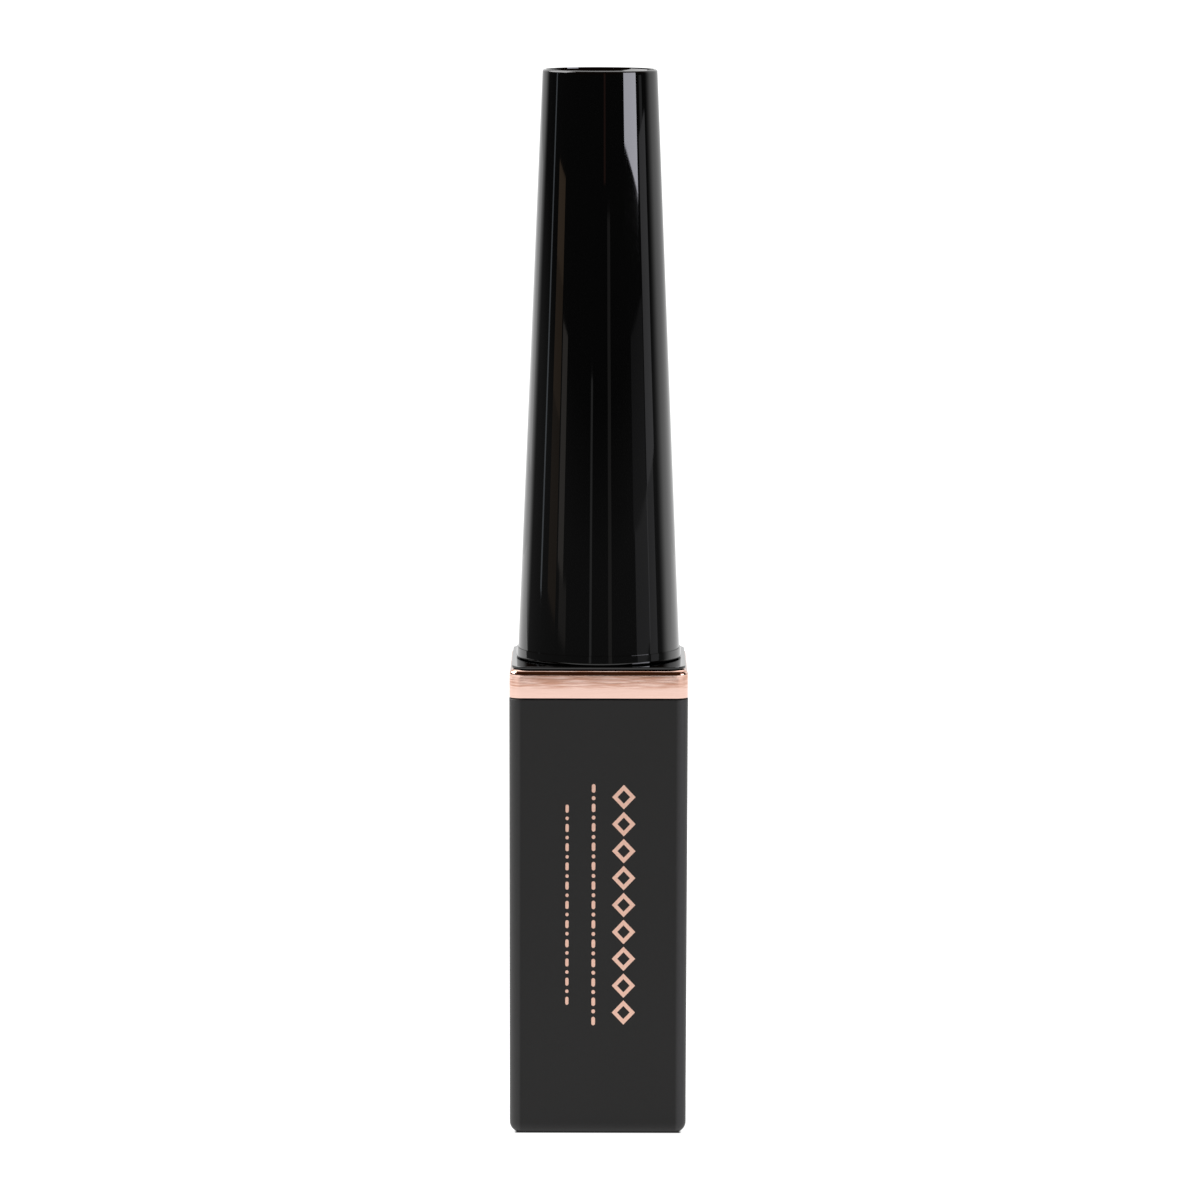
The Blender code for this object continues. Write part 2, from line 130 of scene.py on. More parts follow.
# %% [markdown]
# ## Soft-touch coating
# The square case is moulded ABS, sprayed with a rubbery polyurethane lacquer. The coat scatters light so
# well that the black never shines, it only turns a little paler where you look along it. Under a glass
# it has a fine grain, from the matting powder in the lacquer. That grain is about 0.03 mm and would
# vanish in the picture, so it is drawn at 0.11 mm. A slow cloudiness, nearly a centimetre wide, comes
# from the spray and from handling. Hands also burnish the four upright corners, so these are a little
# smoother than the flats, and they are painted paler too: a painted highlight for the light they catch.
# A point is on a corner where both |x| and |y| are past the end of a flat, so the smaller of the two finds
# the corners.

# %% Soft-touch black
SOFT_GRAIN_MM = 0.11
SOFT_GRAIN_DEPTH = 0.004 * MM
SOFT_CLOUD_MM = 7
CASE_CORNER = 1.1 * MM
# How the corner mask fades in. It carries the real burnish and a painted highlight.
CORNER_BURNISH_AND_HIGHLIGHT_FADE = (-0.05 * MM, 0.25 * MM)


def soft_touch_lacquer():
    made, tree = new_material("soft_touch_lacquer_on_abs")
    place = add_node(tree, "ShaderNodeTexCoord").outputs["Object"]
    grain = add_node(tree, "ShaderNodeTexNoise", {}, {
        "Vector": place, "Scale": per_mm(SOFT_GRAIN_MM), "Detail": 2.0, "Roughness": 0.6})
    cloud = add_node(tree, "ShaderNodeTexNoise", {}, {
        "Vector": place, "Scale": per_mm(SOFT_CLOUD_MM), "Detail": 3.0})
    nearer = compare_sides(tree, place, "MINIMUM")
    flat_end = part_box("outer_casing")[1].x - CASE_CORNER
    # Corner mask: the smoother roughness it gives is real burnish, the paler tone it gives is a painted
    # highlight.
    burnish_and_highlight = add_node(tree, "ShaderNodeMapRange", {"interpolation_type": "SMOOTHSTEP"}, {
        "Value": nearer.outputs["Value"],
        "From Min": flat_end + CORNER_BURNISH_AND_HIGHLIGHT_FADE[0], "From Max": flat_end + CORNER_BURNISH_AND_HIGHLIGHT_FADE[1]})
    cloudy = add_node(tree, "ShaderNodeMixRGB", {}, {
        "Fac": cloud.outputs["Fac"], "Color1": linear("1A1A1A"), "Color2": linear("1D1D1C")})
    # Painted highlight: the corners turn paler, to 2D2D2D.
    tone = add_node(tree, "ShaderNodeMixRGB", {}, {
        "Fac": burnish_and_highlight.outputs["Result"], "Color1": cloudy.outputs["Color"], "Color2": linear("2D2D2D")})
    speckle = add_node(tree, "ShaderNodeMapRange", {}, {
        "Value": grain.outputs["Fac"], "From Min": 0.3, "From Max": 0.7, "To Min": 0.93, "To Max": 1.07})
    colour = add_node(tree, "ShaderNodeVectorMath", {"operation": "SCALE"}, {
        "Vector": tone.outputs["Color"], "Scale": speckle.outputs["Result"]})
    matt = add_node(tree, "ShaderNodeMapRange", {}, {
        "Value": cloud.outputs["Fac"], "To Min": 0.56, "To Max": 0.66})
    smoothed = add_node(tree, "ShaderNodeMapRange", {}, {
        "Value": burnish_and_highlight.outputs["Result"], "To Min": 1.0, "To Max": 0.8})
    roughness = add_node(tree, "ShaderNodeMath", {"operation": "MULTIPLY"}, {
        0: matt.outputs["Result"], 1: smoothed.outputs["Result"]})
    bump = add_node(tree, "ShaderNodeBump", {}, {
        "Height": grain.outputs["Fac"], "Strength": 0.25, "Distance": SOFT_GRAIN_DEPTH})
    shader = add_node(tree, "ShaderNodeBsdfPrincipled", {}, {
        "Base Color": colour.outputs["Vector"], "Roughness": roughness.outputs["Value"], "IOR": 1.46,
        "Specular IOR Level": 0.35, "Sheen Weight": 0.01, "Normal": bump.outputs["Normal"]})
    finish_surface(tree, shader)
    return made


# %% [markdown]
# ## Gloss black
# The cap and the plate that it stands on are moulded from polished tools and lacquered. Black gloss has
# almost no colour of its own: all that the eye sees is the room, mirrored at four parts in a hundred
# face on and far more along the edges. What makes it look real is that the mirror isn't perfect. The
# plastic shrinks a little as it cools, which leaves waves millimetres long and microns high, and these
# make a straight light waver.

# %% Gloss black
GLOSS_WAVE_MM = (1.6, 1.6, 9)
GLOSS_WAVE_HEIGHT = 0.0022 * MM
GLOSS_HAZE_MM = 5


def gloss_lacquer():
    made, tree = new_material("gloss_black_abs")
    place = add_node(tree, "ShaderNodeTexCoord").outputs["Object"]
    wave = stretched_noise(tree, place, GLOSS_WAVE_MM, {"Detail": 1.0})
    haze = add_node(tree, "ShaderNodeTexNoise", {}, {
        "Vector": place, "Scale": per_mm(GLOSS_HAZE_MM), "Detail": 4.0})
    roughness = add_node(tree, "ShaderNodeMapRange", {}, {
        "Value": haze.outputs["Fac"], "From Min": 0.35, "From Max": 0.7, "To Min": 0.014, "To Max": 0.034})
    bump = add_node(tree, "ShaderNodeBump", {}, {
        "Height": wave.outputs["Fac"], "Strength": 1.0, "Distance": GLOSS_WAVE_HEIGHT})
    shader = add_node(tree, "ShaderNodeBsdfPrincipled", {}, {
        "Base Color": linear("020202"), "Roughness": roughness.outputs["Result"], "IOR": 1.5,
        "Normal": bump.outputs["Normal"]})
    finish_surface(tree, shader)
    return made


# %% [markdown]
# ## Rose gold metallising
# The collar is plastic too, with a film of aluminium thinner than a light wave is long, under a lacquer
# dyed the colour of rose gold. It mirrors like metal, so the shader is fully metallic and takes its tint
# from the base colour. Such a film copies every wave of the moulding under it, and the dyed lacquer
# gathers in the waves, where the tint is deeper. On this collar they run level round the band, a third of
# a millimetre apart, and fade out towards its lower edge.

# %% Rose gold
RIPPLE_MM = (2.8, 2.8, 0.18)
RIPPLE_HEIGHT = 0.0007 * MM
RIPPLE_FADE = (1.8 * MM, 1.4 * MM)


def rose_gold_film():
    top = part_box("collar_ring")[1].z
    made, tree = new_material("rose_gold_metallised_abs")
    place = add_node(tree, "ShaderNodeTexCoord").outputs["Object"]
    ripple = stretched_noise(tree, place, RIPPLE_MM, {"Detail": 2.0, "Roughness": 0.55})
    height = add_node(tree, "ShaderNodeSeparateXYZ", {}, {"Vector": place})
    share = add_node(tree, "ShaderNodeMapRange", {"interpolation_type": "SMOOTHSTEP"}, {
        "Value": height.outputs["Z"], "From Min": top - RIPPLE_FADE[0], "From Max": top - RIPPLE_FADE[1],
        "To Min": 0.08, "To Max": 1.0})
    faded = add_node(tree, "ShaderNodeMath", {"operation": "MULTIPLY"}, {
        0: ripple.outputs["Fac"], 1: share.outputs["Result"]})
    bump = add_node(tree, "ShaderNodeBump", {}, {
        "Height": faded.outputs["Value"], "Strength": 1.0, "Distance": RIPPLE_HEIGHT})
    gathered = add_node(tree, "ShaderNodeMapRange", {}, {
        "Value": ripple.outputs["Fac"], "From Min": 0.36, "From Max": 0.62})
    depth = add_node(tree, "ShaderNodeMath", {"operation": "MULTIPLY"}, {
        0: gathered.outputs["Result"], 1: share.outputs["Result"]})
    tint = add_node(tree, "ShaderNodeMixRGB", {}, {
        "Fac": depth.outputs["Value"], "Color1": linear("E1C0B3"), "Color2": linear("C29580")})
    shader = add_node(tree, "ShaderNodeBsdfPrincipled", {}, {
        "Base Color": tint.outputs["Color"], "Metallic": 1.0, "Roughness": 0.08,
        "Normal": bump.outputs["Normal"]})
    finish_surface(tree, shader)
    return made


# %% [markdown]
# The ornament on the case has much the same colour but comes from another process: hot foil, pressed into
# the soft lacquer by a heated die. It lies a few thousandths of a millimetre proud and follows the grain
# under it, so it is duller than the collar.

# %% Hot foil
FOIL_GRAIN_MM = 0.16
FOIL_GRAIN_DEPTH = 0.006 * MM


def hot_foil():
    made, tree = new_material("rose_gold_hot_foil")
    place = add_node(tree, "ShaderNodeTexCoord").outputs["Object"]
    grain = add_node(tree, "ShaderNodeTexNoise", {}, {
        "Vector": place, "Scale": per_mm(FOIL_GRAIN_MM), "Detail": 2.0})
    tone = add_node(tree, "ShaderNodeMixRGB", {}, {
        "Fac": grain.outputs["Fac"], "Color1": linear("E2B6A2"), "Color2": linear("F3CDBB")})
    bump = add_node(tree, "ShaderNodeBump", {}, {
        "Height": grain.outputs["Fac"], "Strength": 0.5, "Distance": FOIL_GRAIN_DEPTH})
    shader = add_node(tree, "ShaderNodeBsdfPrincipled", {}, {
        "Base Color": tone.outputs["Color"], "Metallic": 1.0, "Roughness": 0.42,
        "Normal": bump.outputs["Normal"]})
    finish_surface(tree, shader)
    return made


# %% [markdown]
# ## The plastics inside
# The vial and the cap's liner are natural polypropylene, milky because light wanders about in it before
# it comes out again. The wiper is softer polyethylene, a little warmer and duller. Both take subsurface
# scattering, with a radius of about a millimetre, and a faint flow texture.

# %% Natural polypropylene and polyethylene
FLOW_DEPTH = 0.01 * MM
SCATTER_DEPTH = 0.9 * MM


def milky_plastic(name, pale, dark, roughness, flow_mm):
    made, tree = new_material(name)
    place = add_node(tree, "ShaderNodeTexCoord").outputs["Object"]
    flow = add_node(tree, "ShaderNodeTexNoise", {}, {
        "Vector": place, "Scale": per_mm(flow_mm), "Detail": 3.0, "Distortion": 0.6})
    tone = add_node(tree, "ShaderNodeMixRGB", {}, {
        "Fac": flow.outputs["Fac"], "Color1": linear(dark), "Color2": linear(pale)})
    spread = add_node(tree, "ShaderNodeMapRange", {}, {
        "Value": flow.outputs["Fac"], "To Min": roughness - 0.05, "To Max": roughness + 0.05})
    bump = add_node(tree, "ShaderNodeBump", {}, {
        "Height": flow.outputs["Fac"], "Strength": 0.4, "Distance": FLOW_DEPTH})
    shader = add_node(tree, "ShaderNodeBsdfPrincipled", {}, {
        "Base Color": tone.outputs["Color"], "Roughness": spread.outputs["Result"], "IOR": 1.49,
        "Subsurface Weight": 0.5, "Subsurface Radius": (1.0, 0.95, 0.85), "Subsurface Scale": SCATTER_DEPTH,
        "Normal": bump.outputs["Normal"]})
    finish_surface(tree, shader)
    return made


# %% [markdown]
# ## Foam
# The washer is punched from a sheet of closed-cell polyethylene foam. Its cells are about a fifth of a
# millimetre wide, which a Voronoi pattern draws well: each cell is a shallow pit, and it is painted a
# little darker towards its bottom, a painted shade.

# %% White foam
FOAM_CELL_MM = 0.22
FOAM_PIT_DEPTH = 0.05 * MM


def closed_cell_foam():
    made, tree = new_material("closed_cell_foam")
    place = add_node(tree, "ShaderNodeTexCoord").outputs["Object"]
    cells = add_node(tree, "ShaderNodeTexVoronoi", {"feature": "F1"}, {
        "Vector": place, "Scale": per_mm(FOAM_CELL_MM)})
    # Painted shade: each pit's bottom is a little darker than its rim.
    tone = add_node(tree, "ShaderNodeMixRGB", {}, {
        "Fac": cells.outputs["Distance"], "Color1": linear("D9D5CC"), "Color2": linear("F1EFEA")})
    bump = add_node(tree, "ShaderNodeBump", {}, {
        "Height": cells.outputs["Distance"], "Strength": 0.8, "Distance": FOAM_PIT_DEPTH})
    shader = add_node(tree, "ShaderNodeBsdfPrincipled", {}, {
        "Base Color": tone.outputs["Color"], "Roughness": 0.92, "IOR": 1.5,
        "Normal": bump.outputs["Normal"]})
    finish_surface(tree, shader)
    return made


# %% [markdown]
# ## Rod, ferrule and fibres
# The rod is black polypropylene from an unpolished tool, so it is only half glossy. The ferrule is drawn
# steel: drawing leaves scratches along the tube, some hundredths of a millimetre apart. The fibres are
# black nylon, and no two are quite alike, so their colour changes from fibre to fibre.

# %% Rod plastic, drawn steel and nylon fibre
ROD_GRAIN_MM = 0.15
ROD_GRAIN_DEPTH = 0.004 * MM
DRAW_LINE_MM = (0.06, 0.06, 3)
DRAW_LINE_DEPTH = 0.003 * MM


def rod_plastic():
    made, tree = new_material("black_moulded_polypropylene")
    place = add_node(tree, "ShaderNodeTexCoord").outputs["Object"]
    grain = add_node(tree, "ShaderNodeTexNoise", {}, {
        "Vector": place, "Scale": per_mm(ROD_GRAIN_MM), "Detail": 3.0})
    roughness = add_node(tree, "ShaderNodeMapRange", {}, {
        "Value": grain.outputs["Fac"], "To Min": 0.24, "To Max": 0.38})
    bump = add_node(tree, "ShaderNodeBump", {}, {
        "Height": grain.outputs["Fac"], "Strength": 0.3, "Distance": ROD_GRAIN_DEPTH})
    shader = add_node(tree, "ShaderNodeBsdfPrincipled", {}, {
        "Base Color": linear("131313"), "Roughness": roughness.outputs["Result"], "IOR": 1.49,
        "Normal": bump.outputs["Normal"]})
    finish_surface(tree, shader)
    return made


def drawn_steel():
    made, tree = new_material("drawn_stainless_steel")
    place = add_node(tree, "ShaderNodeTexCoord").outputs["Object"]
    lines = stretched_noise(tree, place, DRAW_LINE_MM, {"Detail": 2.0})
    tone = add_node(tree, "ShaderNodeMixRGB", {}, {
        "Fac": lines.outputs["Fac"], "Color1": linear("A9ABAE"), "Color2": linear("CFCFD0")})
    roughness = add_node(tree, "ShaderNodeMapRange", {}, {
        "Value": lines.outputs["Fac"], "To Min": 0.2, "To Max": 0.36})
    bump = add_node(tree, "ShaderNodeBump", {}, {
        "Height": lines.outputs["Fac"], "Strength": 0.5, "Distance": DRAW_LINE_DEPTH})
    shader = add_node(tree, "ShaderNodeBsdfPrincipled", {}, {
        "Base Color": tone.outputs["Color"], "Metallic": 1.0, "Roughness": roughness.outputs["Result"],
        "Normal": bump.outputs["Normal"]})
    finish_surface(tree, shader)
    return made


def nylon_fibre():
    made, tree = new_material("black_nylon_fibre")
    fibre = add_node(tree, "ShaderNodeNewGeometry").outputs["Random Per Island"]
    tone = add_node(tree, "ShaderNodeMixRGB", {}, {
        "Fac": fibre, "Color1": linear("070707"), "Color2": linear("17151A")})
    roughness = add_node(tree, "ShaderNodeMapRange", {}, {
        "Value": fibre, "To Min": 0.3, "To Max": 0.5})
    shader = add_node(tree, "ShaderNodeBsdfPrincipled", {}, {
        "Base Color": tone.outputs["Color"], "Roughness": roughness.outputs["Result"], "IOR": 1.53})
    finish_surface(tree, shader)
    return made


# %% [markdown]
# Pieces of one plastic share one finish, so each is made once and the pieces call it by its name.

# %% Make every finish once
FINISHES = {
    "soft_touch": soft_touch_lacquer(),
    "gloss": gloss_lacquer(),
    "rose_gold": rose_gold_film(),
    "foil": hot_foil(),
    "polypropylene": milky_plastic("natural_polypropylene", "DCDDD9", "CACCC6", 0.36, 2.5),
    "polyethylene": milky_plastic("natural_polyethylene", "E6E5DF", "D7D5CC", 0.46, 1.8),
    "foam": closed_cell_foam(),
    "rod": rod_plastic(),
    "steel": drawn_steel(),
    "fibre": nylon_fibre(),
}
print("finishes:", ", ".join(made.name for made in FINISHES.values()))

# %% [markdown]
# ## One way to build nearly every shape: rings
# A bottle, a cap and a collar are all stacks of level outlines. So each piece is a list of rings, from
# one end of its surface to the other, inside and out, and one function skins them. A ring is either a
# rounded square or a circle, and both have the same number of points, so a square outside can run over
# into a round bore. Points close to where a corner starts keep the shading of the flats clean.

# %% Rings and lofts
CORNER_STEPS = 20
FLAT_SHARES = (0.02, 0.2, 0.5, 0.8, 0.98)
RING_POINTS = 4 * (CORNER_STEPS + 1 + len(FLAT_SHARES))
LEAST_CORNER = 0.02 * MM
SHARP_ANGLE = math.radians(34)


def square_ring(half, corner, height):
    """A rounded square, counterclockwise from above."""
    corner = max(corner, LEAST_CORNER)
    middle = half - corner
    points = []
    for quarter in range(4):
        turn = Matrix.Rotation(math.tau * quarter / 4, 3, "Z")
        for i in range(CORNER_STEPS + 1):
            angle = math.tau / 4 * i / CORNER_STEPS
            across, deep = middle + corner * math.cos(angle), middle + corner * math.sin(angle)
            points.append(turn @ Vector((across, deep, height)))
        for share in FLAT_SHARES:
            points.append(turn @ Vector((middle * (1 - 2 * share), half, height)))
    return points


def round_ring(radius, height):
    """A circle whose points lie in the directions of a rounded square's, one for one."""
    return [Vector((*(point.to_2d().normalized() * radius), height)) for point in square_ring(1, 0.5, 0)]


def even_ring(radius, height, count):
    """A circle of evenly spaced points."""
    return [
        Vector((radius * math.cos(math.tau * i / count), radius * math.sin(math.tau * i / count), height))
        for i in range(count)
    ]


def loft(name, rings, joined=False):
    """Skins a list of rings. The two ends are capped, or joined to each other."""
    bm = bmesh.new()
    rows = [[bm.verts.new(point) for point in ring] for ring in rings]
    pairs = list(zip(rows, rows[1:])) + ([(rows[-1], rows[0])] if joined else [])
    for lower, upper in pairs:
        for i in range(len(lower)):
            j = (i + 1) % len(lower)
            bm.faces.new((lower[i], lower[j], upper[j], upper[i]))
    if not joined:
        bm.faces.new(list(reversed(rows[0])))
        bm.faces.new(rows[-1])
    bmesh.ops.recalc_face_normals(bm, faces=bm.faces)
    return as_object(name, bm)


def as_object(name, bm):
    """Makes a mesh object of a bmesh, shaded smooth except where it folds sharply."""
    mesh = bpy.data.meshes.new(name)
    bm.to_mesh(mesh)
    bm.free()
    mesh.shade_smooth()
    mesh.set_sharp_from_angle(angle=SHARP_ANGLE)
    made = bpy.data.objects.new(name, mesh)
    bpy.context.scene.collection.objects.link(made)
    return made


def dress(piece, finish, body, slot, *nodes):
    """Gives a piece its finish and its place on a body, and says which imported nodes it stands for."""
    piece.data.materials.append(FINISHES[finish])
    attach(piece, body)
    if nodes:
        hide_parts(*nodes)
    print(f"{piece.name}: {len(piece.data.polygons)} faces, {FINISHES[finish].name}")


print("a square ring has", RING_POINTS, "points")

# %% [markdown]
# Rounded edges are arcs. A profile is a list of (distance from the axis, height), and an arc adds points
# to it, from one angle to another, with 0 degrees outwards and 90 degrees up. Round a square piece the
# same arc makes square rings, and their corners shrink as the rings do.

# %% Arcs


def arc(at, height, radius, start, end, steps=8):
    """Profile points round a centre."""
    angles = [math.radians(start + (end - start) * i / steps) for i in range(steps + 1)]
    return [(at + radius * math.cos(a), height + radius * math.sin(a)) for a in angles]


def square_edge(half, corner, height, radius, start, end, steps):
    """Square rings over a rounded edge. Half is half the width where the edge is widest."""
    bend = arc(half - radius, height, radius, start, end, steps)
    return [square_ring(at, corner - (half - at), up) for at, up in bend]


def spin(name, profile, count, joined=False):
    """A turned piece: a ring for each point of the profile."""
    return loft(name, [even_ring(radius, height, count) for radius, height in profile], joined)


# %% [markdown]
# ## The square case
# It was moulded on a core, open at the top, and it narrows a little towards its foot so that it slides
# out of the tool. The rings run from the middle of the shallow recess under the foot, out over the rim,
# up the outside, over the mouth and down into the pocket, so the shell is one closed skin with its real
# wall. An extra ring, `SUPPORT` away from each rounded edge, keeps the edge's shading off the flats.

# %% Case
CASE_DRAFT = 0.08 * MM
CASE_FOOT_FILLET = 0.99 * MM
CASE_EDGE_BREAK = 0.08 * MM
CASE_WALL = 1.2 * MM
CASE_FLOOR = 1.4 * MM
FOOT_RIM = 2.4 * MM
FOOT_RECESS = 0.4 * MM
RECESS_CORNER = 0.8 * MM
POCKET_CORNER = 0.5 * MM
SUPPORT = 0.12 * MM

case_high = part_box("outer_casing")[1]
case_half = case_high.x
case_height = case_high.z


def case_side(height):
    """Half the case's width at a height, with its draft."""
    return case_half - CASE_DRAFT * (1 - height / case_height)


def rounded_case():
    foot = case_side(0)
    recess = foot - FOOT_RIM
    rings = [square_ring(recess, RECESS_CORNER, height) for height in (FOOT_RECESS, 0)]
    rings += square_edge(foot, CASE_CORNER, CASE_FOOT_FILLET, CASE_FOOT_FILLET, -90, 0, 12)
    for height in (CASE_FOOT_FILLET + SUPPORT, case_height / 2, case_height - CASE_EDGE_BREAK - SUPPORT):
        rings.append(square_ring(case_side(height), CASE_CORNER, height))
    rings += square_edge(case_half, CASE_CORNER, case_height - CASE_EDGE_BREAK, CASE_EDGE_BREAK, 0, 90, 5)
    pocket = case_half - CASE_WALL
    rings += [square_ring(pocket, POCKET_CORNER, height) for height in (case_height, CASE_FLOOR)]
    return loft("soft_touch_case", rings)


dress(rounded_case(), "soft_touch", "bottle", "soft_touch_black", "outer_casing")

# %% [markdown]
# ## The collar
# Seen close, the band isn't flat: its face leans back a little towards the top, as plated mouldings do
# where the skin cooled first. The lean is about a hundredth of a millimetre, and it matters more than
# any colour, because it decides which part of the table the band mirrors. The top edge is a large, soft
# radius, which mirrors the dark room over the camera and, at its very top, the light overhead. The
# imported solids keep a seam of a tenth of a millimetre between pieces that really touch, and the collar
# rises here to close most of the one over it.

# %% Collar
COLLAR_FILLET = 0.47 * MM
COLLAR_RISE = 0.07 * MM
COLLAR_BREAK = 0.06 * MM
COLLAR_BORE = 5.95 * MM
COLLAR_SPIGOT = 6.95 * MM
SPIGOT_CORNER = 0.5 * MM
COLLAR_LEAN = 0.02 * MM
LEAN_START_SHARE = 0.3
BAND_ROW_SHARES = (0.08, 0.3, 0.4, 0.5, 0.6, 0.7, 0.8, 0.9, 0.985)
SEAM = 0.1 * MM

collar_low, collar_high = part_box("collar_ring")
collar_foot = case_height + SEAM


def collar_lean(share):
    """How far the band's face lies back at a share of its height."""
    return COLLAR_LEAN * max(share - LEAN_START_SHARE, 0) ** 1.5


def banded_collar():
    bottom, top = collar_foot, collar_high.z + COLLAR_RISE
    low, high = bottom + COLLAR_BREAK, top - COLLAR_FILLET
    rings = [square_ring(COLLAR_SPIGOT, SPIGOT_CORNER, height) for height in (collar_low.z, bottom)]
    rings += square_edge(case_half, CASE_CORNER, low, COLLAR_BREAK, -90, 0, 5)
    for share in BAND_ROW_SHARES:
        rings.append(square_ring(case_half - collar_lean(share), CASE_CORNER, low + (high - low) * share))
    lean = collar_lean(1)
    rings += square_edge(case_half - lean, CASE_CORNER - lean, high, COLLAR_FILLET, 0, 90, 16)
    rings += [round_ring(COLLAR_BORE, height) for height in (top, collar_low.z)]
    return loft("rose_gold_collar", rings, joined=True)


dress(banded_collar(), "rose_gold", "bottle", "rose_gold_metallised", "collar_ring")

# %% [markdown]
# ## The shoulder plate
# A gloss black plate closes the collar, and the cap stands on it. From the front only its edge shows,
# with two pale corners that mirror the backdrop on both sides of the cap.

# %% Shoulder plate
PLATE_INSET = 0.21 * MM
PLATE_CORNER = 1.6 * MM
PLATE_EDGE = 0.06 * MM
PLATE_EDGE_SUPPORT = 0.01 * MM
PLATE_LIP = 0.2 * MM
PLATE_PLUG = 5.85 * MM
PLATE_HOLE = 4.45 * MM

plate_low, plate_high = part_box("shoulder_cover")
plate_lip = plate_high.z - PLATE_LIP


def shoulder_plate():
    half, corner = case_half - PLATE_INSET, PLATE_CORNER
    top = plate_high.z
    rings = [round_ring(PLATE_HOLE, plate_low.z), round_ring(PLATE_PLUG, plate_low.z)]
    rings += [round_ring(PLATE_PLUG, plate_lip), square_ring(half, corner, plate_lip)]
    rings.append(square_ring(half, corner, top - PLATE_EDGE - PLATE_EDGE_SUPPORT))
    rings += square_edge(half, corner, top - PLATE_EDGE, PLATE_EDGE, 0, 90, 6)
    rings.append(square_ring(half - PLATE_EDGE - SUPPORT, corner - PLATE_EDGE - SUPPORT, top))
    rings.append(round_ring(PLATE_HOLE, top))
    return loft("shoulder_plate", rings, joined=True)


dress(shoulder_plate(), "gloss", "bottle", "gloss_black", "shoulder_cover")

# %% [markdown]
# ## The cap
# A tall cone with a low ring at its foot. The top is dished, inside a narrow rim: that keeps the
# moulding's gate mark off the table, and from the front it shows as a dark line, because the far wall
# of the dish mirrors the dark room and not the backdrop.

# %% Cap
CAP_STEPS = 288
CAP_FOOT_RADIUS = 7.55 * MM
CAP_TOP_RADIUS = 5.3 * MM
CAP_RING = 0.12 * MM
CAP_RING_HEIGHT = 0.82 * MM
CAP_RING_MIDDLE = 0.4 * MM
CAP_TOP_FILLET = 0.2 * MM
CAP_RIM = 0.1 * MM
CAP_DISH = 0.5 * MM
CAP_FOOT_BREAK = 0.05 * MM
CAP_WALL = 1.2 * MM
CAP_CEILING = 1.5 * MM
CAP_CEILING_FILLET = 0.6 * MM
CAP_ROW_SHARES = (0.99, 0.8, 0.6, 0.4, 0.2, 0.05, 0.032)

cap_low, cap_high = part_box("cap_shell")
cap_height = cap_high.z - cap_low.z


def cap_radius(height):
    """The cone's radius at a height above the cap's foot."""
    return CAP_FOOT_RADIUS + (CAP_TOP_RADIUS - CAP_FOOT_RADIUS) * height / cap_height


def tapered_cap():
    rim = CAP_TOP_RADIUS - CAP_TOP_FILLET - CAP_RIM
    dish = arc(rim - CAP_DISH, cap_height, CAP_DISH, -90, 0, 12)
    crown = arc(CAP_TOP_RADIUS - CAP_TOP_FILLET, cap_height - CAP_TOP_FILLET, CAP_TOP_FILLET, 90, 2, 10)
    wall = [(cap_radius(cap_height * share), cap_height * share) for share in CAP_ROW_SHARES]
    ring = [(cap_radius(CAP_RING_HEIGHT), CAP_RING_HEIGHT)]
    ring_upper = (CAP_RING_HEIGHT, CAP_RING_HEIGHT - SUPPORT, CAP_RING_MIDDLE)
    ring_lower = (CAP_FOOT_BREAK + SUPPORT, CAP_FOOT_BREAK)
    for height in ring_upper + ring_lower:
        ring.append((cap_radius(height) + CAP_RING, height))
    foot = arc(ring[-1][0] - CAP_FOOT_BREAK, CAP_FOOT_BREAK, CAP_FOOT_BREAK, 0, -90, 5)[1:]
    inner_top = cap_height - CAP_CEILING
    fillet = CAP_CEILING_FILLET
    inside = [(CAP_FOOT_RADIUS - CAP_WALL, 0)]
    inside += arc(cap_radius(inner_top) - CAP_WALL - fillet, inner_top - fillet, fillet, 0, 90)
    profile = [(at, height + cap_low.z) for at, height in dish + crown + wall + ring + foot + inside]
    return spin("tapered_cap", profile, CAP_STEPS)


dress(tapered_cap(), "gloss", "cap", "gloss_black", "cap_shell")

# %% [markdown]
# ## The screw thread
# The neck carries a single right-handed thread of two turns, and the cap's liner carries its match, half a
# pitch lower. A thread is easy on a surface made of rings: a point's radius grows where the point lies
# near the helix. How near is found from its height and its angle, and the ends of the thread fade away
# over an eighth of a turn.

# %% Thread
THREAD_PITCH = 2.6 * MM
THREAD_CREST = 0.5 * MM
THREAD_FLANK = 0.32 * MM
THREAD_FADE = 0.12


def smooth(value):
    value = max(0.0, min(1.0, value))
    return value * value * (3 - 2 * value)


def thread_share(angle, height, start, turns):
    """How far a point stands on the ridge of a helix, from 0 to 1."""
    turn = angle / math.tau
    nearest = round((height - start) / THREAD_PITCH - turn)
    along = nearest + turn
    gap = abs(height - start - along * THREAD_PITCH) - THREAD_CREST / 2
    ends = smooth(along / THREAD_FADE) * smooth((turns - along) / THREAD_FADE)
    return smooth(1 - gap / THREAD_FLANK) * ends


def threaded_ring(radius, height, count, start, turns, depth):
    """A circle with a thread on it. Depth is negative for a thread inside a bore."""
    ring = []
    for i in range(count):
        angle = math.tau * i / count
        reach = radius + depth * thread_share(angle, height, start, turns)
        ring.append(Vector((reach * math.cos(angle), reach * math.sin(angle), height)))
    return ring


# %% [markdown]
# ## The vial
# The vial holds the liquid. It stands on the case's floor, and its neck comes up through the plate. Its
# foot, body, shoulder and flange are turned, then come rings with the thread on them, and then its bore.

